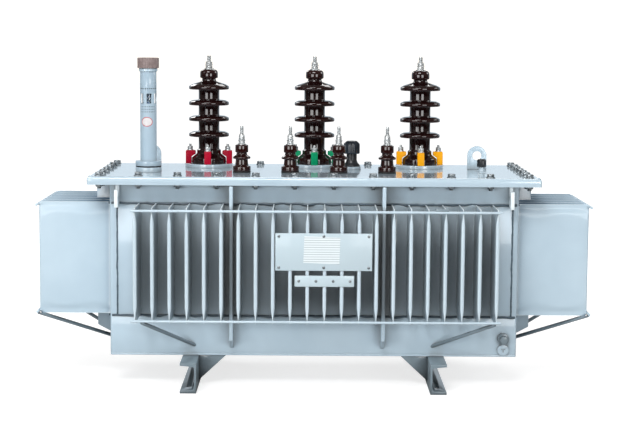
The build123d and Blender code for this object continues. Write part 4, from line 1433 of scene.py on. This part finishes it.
@dataclass
class Plates:
    """The rating plate with its blank label, and the strip plate under it."""

    face: float = -322.0
    thickness: float = 1.5
    rating: tuple[float, float, float, float] = (-101.0, 151.0, 330.0, 428.0)
    strip: tuple[float, float, float, float] = (-50.5, 104.5, 288.0, 317.0)
    label_half: tuple[float, float] = (47.0, 35.0)
    label_at: tuple[float, float] = (20.0, 384.0)
    label_tilt: float = 2.0

    def screw(self) -> Piece:
        """Make one pan head screw that faces the front."""
        head = spun("screw", [(0, 0), (3.6, 0), (3.6, 1.0, 0.8), (1.5, 2.0, 1.5), (0, 2.1)], steps=20)
        with edit(head, Grip.FACE, lambda p: p.z > 1.9):
            bpy.ops.mesh.inset(thickness=0.2 * MM, depth=-0.4 * MM)
        head.data.transform(Matrix.Rotation(math.radians(90), 4, "X"))
        return head

    def build(self) -> None:
        """Build and dress the plates, their screws and the label."""
        back, front = self.face, self.face - self.thickness
        for name, (left, right, low, high) in (("rating", self.rating), ("strip", self.strip)):
            plate = box(f"{name}_plate_shape", (left, front, low), (right, back, high), 0.4)
            dressed(plate, PLATE, [f"{name}_plate"])
        half, rise = self.label_half
        x, z = self.label_at
        label = box("blank_label", (-half, front - 0.3, z - rise), (half, front + 0.1, z + rise), 0.08, 1)
        label.data.transform(Matrix.Translation(Vector((0, 0, -z)) * MM))
        label.data.transform(Matrix.Rotation(math.radians(self.label_tilt), 4, "Y"))
        label.data.transform(Matrix.Translation(Vector((x, 0, z)) * MM))
        dressed(label, LABEL)
        places = [moved(x, front, z) for x in (-92, 25, 142) for z in (338, 420)]
        places += [moved(x, front, 302.5) for x in (-40, 5, 50, 94)]
        dressed(repeated("plate_screws", self.screw(), places), BOLT_ZINC)


# Stage


@dataclass(frozen=True)
class Lamp:
    """A soft rectangular lamp: its place, the point it faces and its size in metres, and its power in watts."""

    name: str
    at: tuple[float, float, float]
    aim: tuple[float, float, float]
    size: tuple[float, float]
    power: float

    def hang(self) -> None:
        """Put the lamp in the scene."""
        data = bpy.data.lights.new(self.name, "AREA")
        data.shape = "RECTANGLE"
        data.size, data.size_y = self.size
        data.energy = self.power
        lamp = bpy.data.objects.new(self.name, data)
        lamp.location = self.at
        lamp.rotation_mode = "QUATERNION"
        lamp.rotation_quaternion = (Vector(self.aim) - Vector(self.at)).to_track_quat("-Z", "Y")
        bpy.context.collection.objects.link(lamp)


LAMPS = (
    Lamp("key", (-0.9, -3.4, 3.9), (0, 0, 0.45), (2.4, 1.6), 160.0),
    Lamp("left_bank", (-2.3, -3.8, 0.85), (0, 0, 0.7), (2.6, 1.0), 60.0),
    Lamp("right_bank", (1.9, -4.0, 0.85), (0, 0, 0.7), (1.9, 1.0), 46.0),
    Lamp("side", (-4.0, -1.6, 2.6), (0, 0, 0.45), (1.6, 1.6), 12.0),
    Lamp("back", (0.6, 4.0, 4.2), (0, 0, 0.4), (2.4, 1.6), 60.0),
    Lamp("rear_left", (-2.4, 3.8, 3.1), (0, 0, 0.3), (2.0, 1.4), 60.0),
    Lamp("rear_right", (4.2, 1.2, 2.6), (0, 0, 0.3), (2.0, 1.6), 60.0),
)


@dataclass
class Studio:
    """Plain pale floor, white background and the camera at the photograph's angle."""

    place: tuple[float, float, float] = (-0.01408, -4.60009, 0.93287)
    pitch: float = 6.2
    yaw: float = 0.21
    roll: float = -0.38
    lens: float = 94.757

    def camera(self) -> None:
        """Set up the camera."""
        pitch, yaw, roll = (math.radians(a) for a in (self.pitch, self.yaw, self.roll))
        ahead = Vector((math.sin(yaw) * math.cos(pitch), math.cos(yaw) * math.cos(pitch), -math.sin(pitch)))
        right = Vector((math.cos(yaw), -math.sin(yaw), 0.0))
        up = right.cross(ahead)
        level = right * math.cos(roll) - up * math.sin(roll)
        above = right * math.sin(roll) + up * math.cos(roll)
        data = bpy.data.cameras.new("camera")
        data.lens = self.lens
        data.sensor_width = 36.0
        data.clip_end = 100.0
        camera = bpy.data.objects.new("camera", data)
        turn = Matrix((level, above, -ahead)).transposed().to_4x4()
        camera.matrix_world = Matrix.Translation(self.place) @ turn
        bpy.context.collection.objects.link(camera)
        bpy.context.scene.camera = camera

    def seen(self, tree: Tree) -> Any:
        """Give 1 for rays that look straight at the background, also through glass."""
        path = node(tree, "LightPath")
        kinds = {0: path.outputs["Is Camera Ray"], 1: path.outputs["Is Transmission Ray"]}
        return node(tree, "Math", {"operation": "MAXIMUM"}, links=kinds).outputs["Value"]

    def mirrored(self, tree: Tree) -> Any:
        """Give 1 for rays that show the background in a gloss."""
        return node(tree, "LightPath").outputs["Is Glossy Ray"]

    def times(self, tree: Tree, a: Any, b: Any) -> Any:
        """Multiply two sockets."""
        return node(tree, "Math", {"operation": "MULTIPLY"}, links={0: a, 1: b}).outputs["Value"]

    def floor(self) -> None:
        """Lay the floor: matt, white where it is seen, with the object's shadow kept."""
        floor = start("floor", bpy.ops.mesh.primitive_plane_add, (0, 0, 0), size=60.0)
        material, tree = blank_material("matt_white_studio_floor")
        matt = node(tree, "BsdfDiffuse", values={"Color": linear("#B4B4B4")})
        place = node(tree, "TexCoord").outputs["Object"]
        away = node(tree, "VectorMath", {"operation": "LENGTH"}, links={0: place}).outputs["Value"]
        shown = self.times(tree, self.seen(tree), spread(tree, away, (0.9, 2.4), (0.74, 1.0)))
        glow = node(tree, "Emission", values={"Color": (1.0, 1.0, 1.0, 1.0)}, links={"Strength": shown})
        both = node(tree, "AddShader", links={0: matt.outputs["BSDF"], 1: glow.outputs["Emission"]})
        depth = node(tree, "SeparateXYZ", links={"Vector": place}).outputs["Y"]
        ahead = self.times(tree, self.mirrored(tree), spread(tree, depth, (-3.0, -1.0), (1.0, 0.0)))
        dark = node(tree, "BsdfDiffuse", values={"Color": linear("#202224")})
        mixed = node(tree, "MixShader", links={0: ahead, 1: both.outputs["Shader"], 2: dark.outputs["BSDF"]})
        node(tree, "OutputMaterial", links={"Surface": mixed.outputs["Shader"]})
        floor.data.materials.append(material)

    def backdrop(self) -> None:
        """Hang the white backdrop, which only the gloss of the cover shows."""
        sheet = box("backdrop", (-12000, 7000, 0), (12000, 7010, 3500))
        material, tree = blank_material("white_paper_backdrop")
        shown = node(tree, "Math", {"operation": "MULTIPLY"}, {1: 0.92}, {0: self.mirrored(tree)}).outputs["Value"]
        glow = node(tree, "Emission", values={"Color": (0.78, 0.9, 1.0, 1.0)}, links={"Strength": shown})
        node(tree, "OutputMaterial", links={"Surface": glow.outputs["Emission"]})
        sheet.data.materials.append(material)
        sheet.visible_camera = sheet.visible_diffuse = False
        sheet.visible_shadow = sheet.visible_transmission = False

    def world(self) -> None:
        """Light the room evenly, and show it white."""
        world = bpy.data.worlds.new("studio")
        world.use_nodes = True
        tree = world.node_tree
        tree.nodes.clear()
        strength = spread(tree, self.seen(tree), (0.0, 1.0), (0.2, 1.2))
        sky = node(tree, "Background", values={"Color": (1.0, 0.94, 0.87, 1.0)}, links={"Strength": strength})
        node(tree, "OutputWorld", links={"Surface": sky.outputs["Background"]})
        bpy.context.scene.world = world

    def build(self) -> None:
        """Set the whole stage."""
        self.camera()
        self.floor()
        self.world()
        self.backdrop()
        for lamp in LAMPS:
            lamp.hang()
        bpy.context.scene.view_settings.view_transform = "Standard"


def main() -> None:
    """Build the stage and every sub-assembly in order."""
    logging.basicConfig(level=logging.INFO, format="%(message)s")
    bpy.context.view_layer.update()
    Studio().build()
    tank = CorrugatedTank()
    for part in (
        tank,
        Seams(tank),
        Framework(),
        Cover(),
        HighVoltageBushings(),
        LowVoltageBushings(),
        TapChanger(),
        OilLevelTube(),
        Filler(),
        Plates(),
    ):
        part.build()
        LOG.info("built %s", type(part).__name__)


if __name__ == "__main__":
    main()
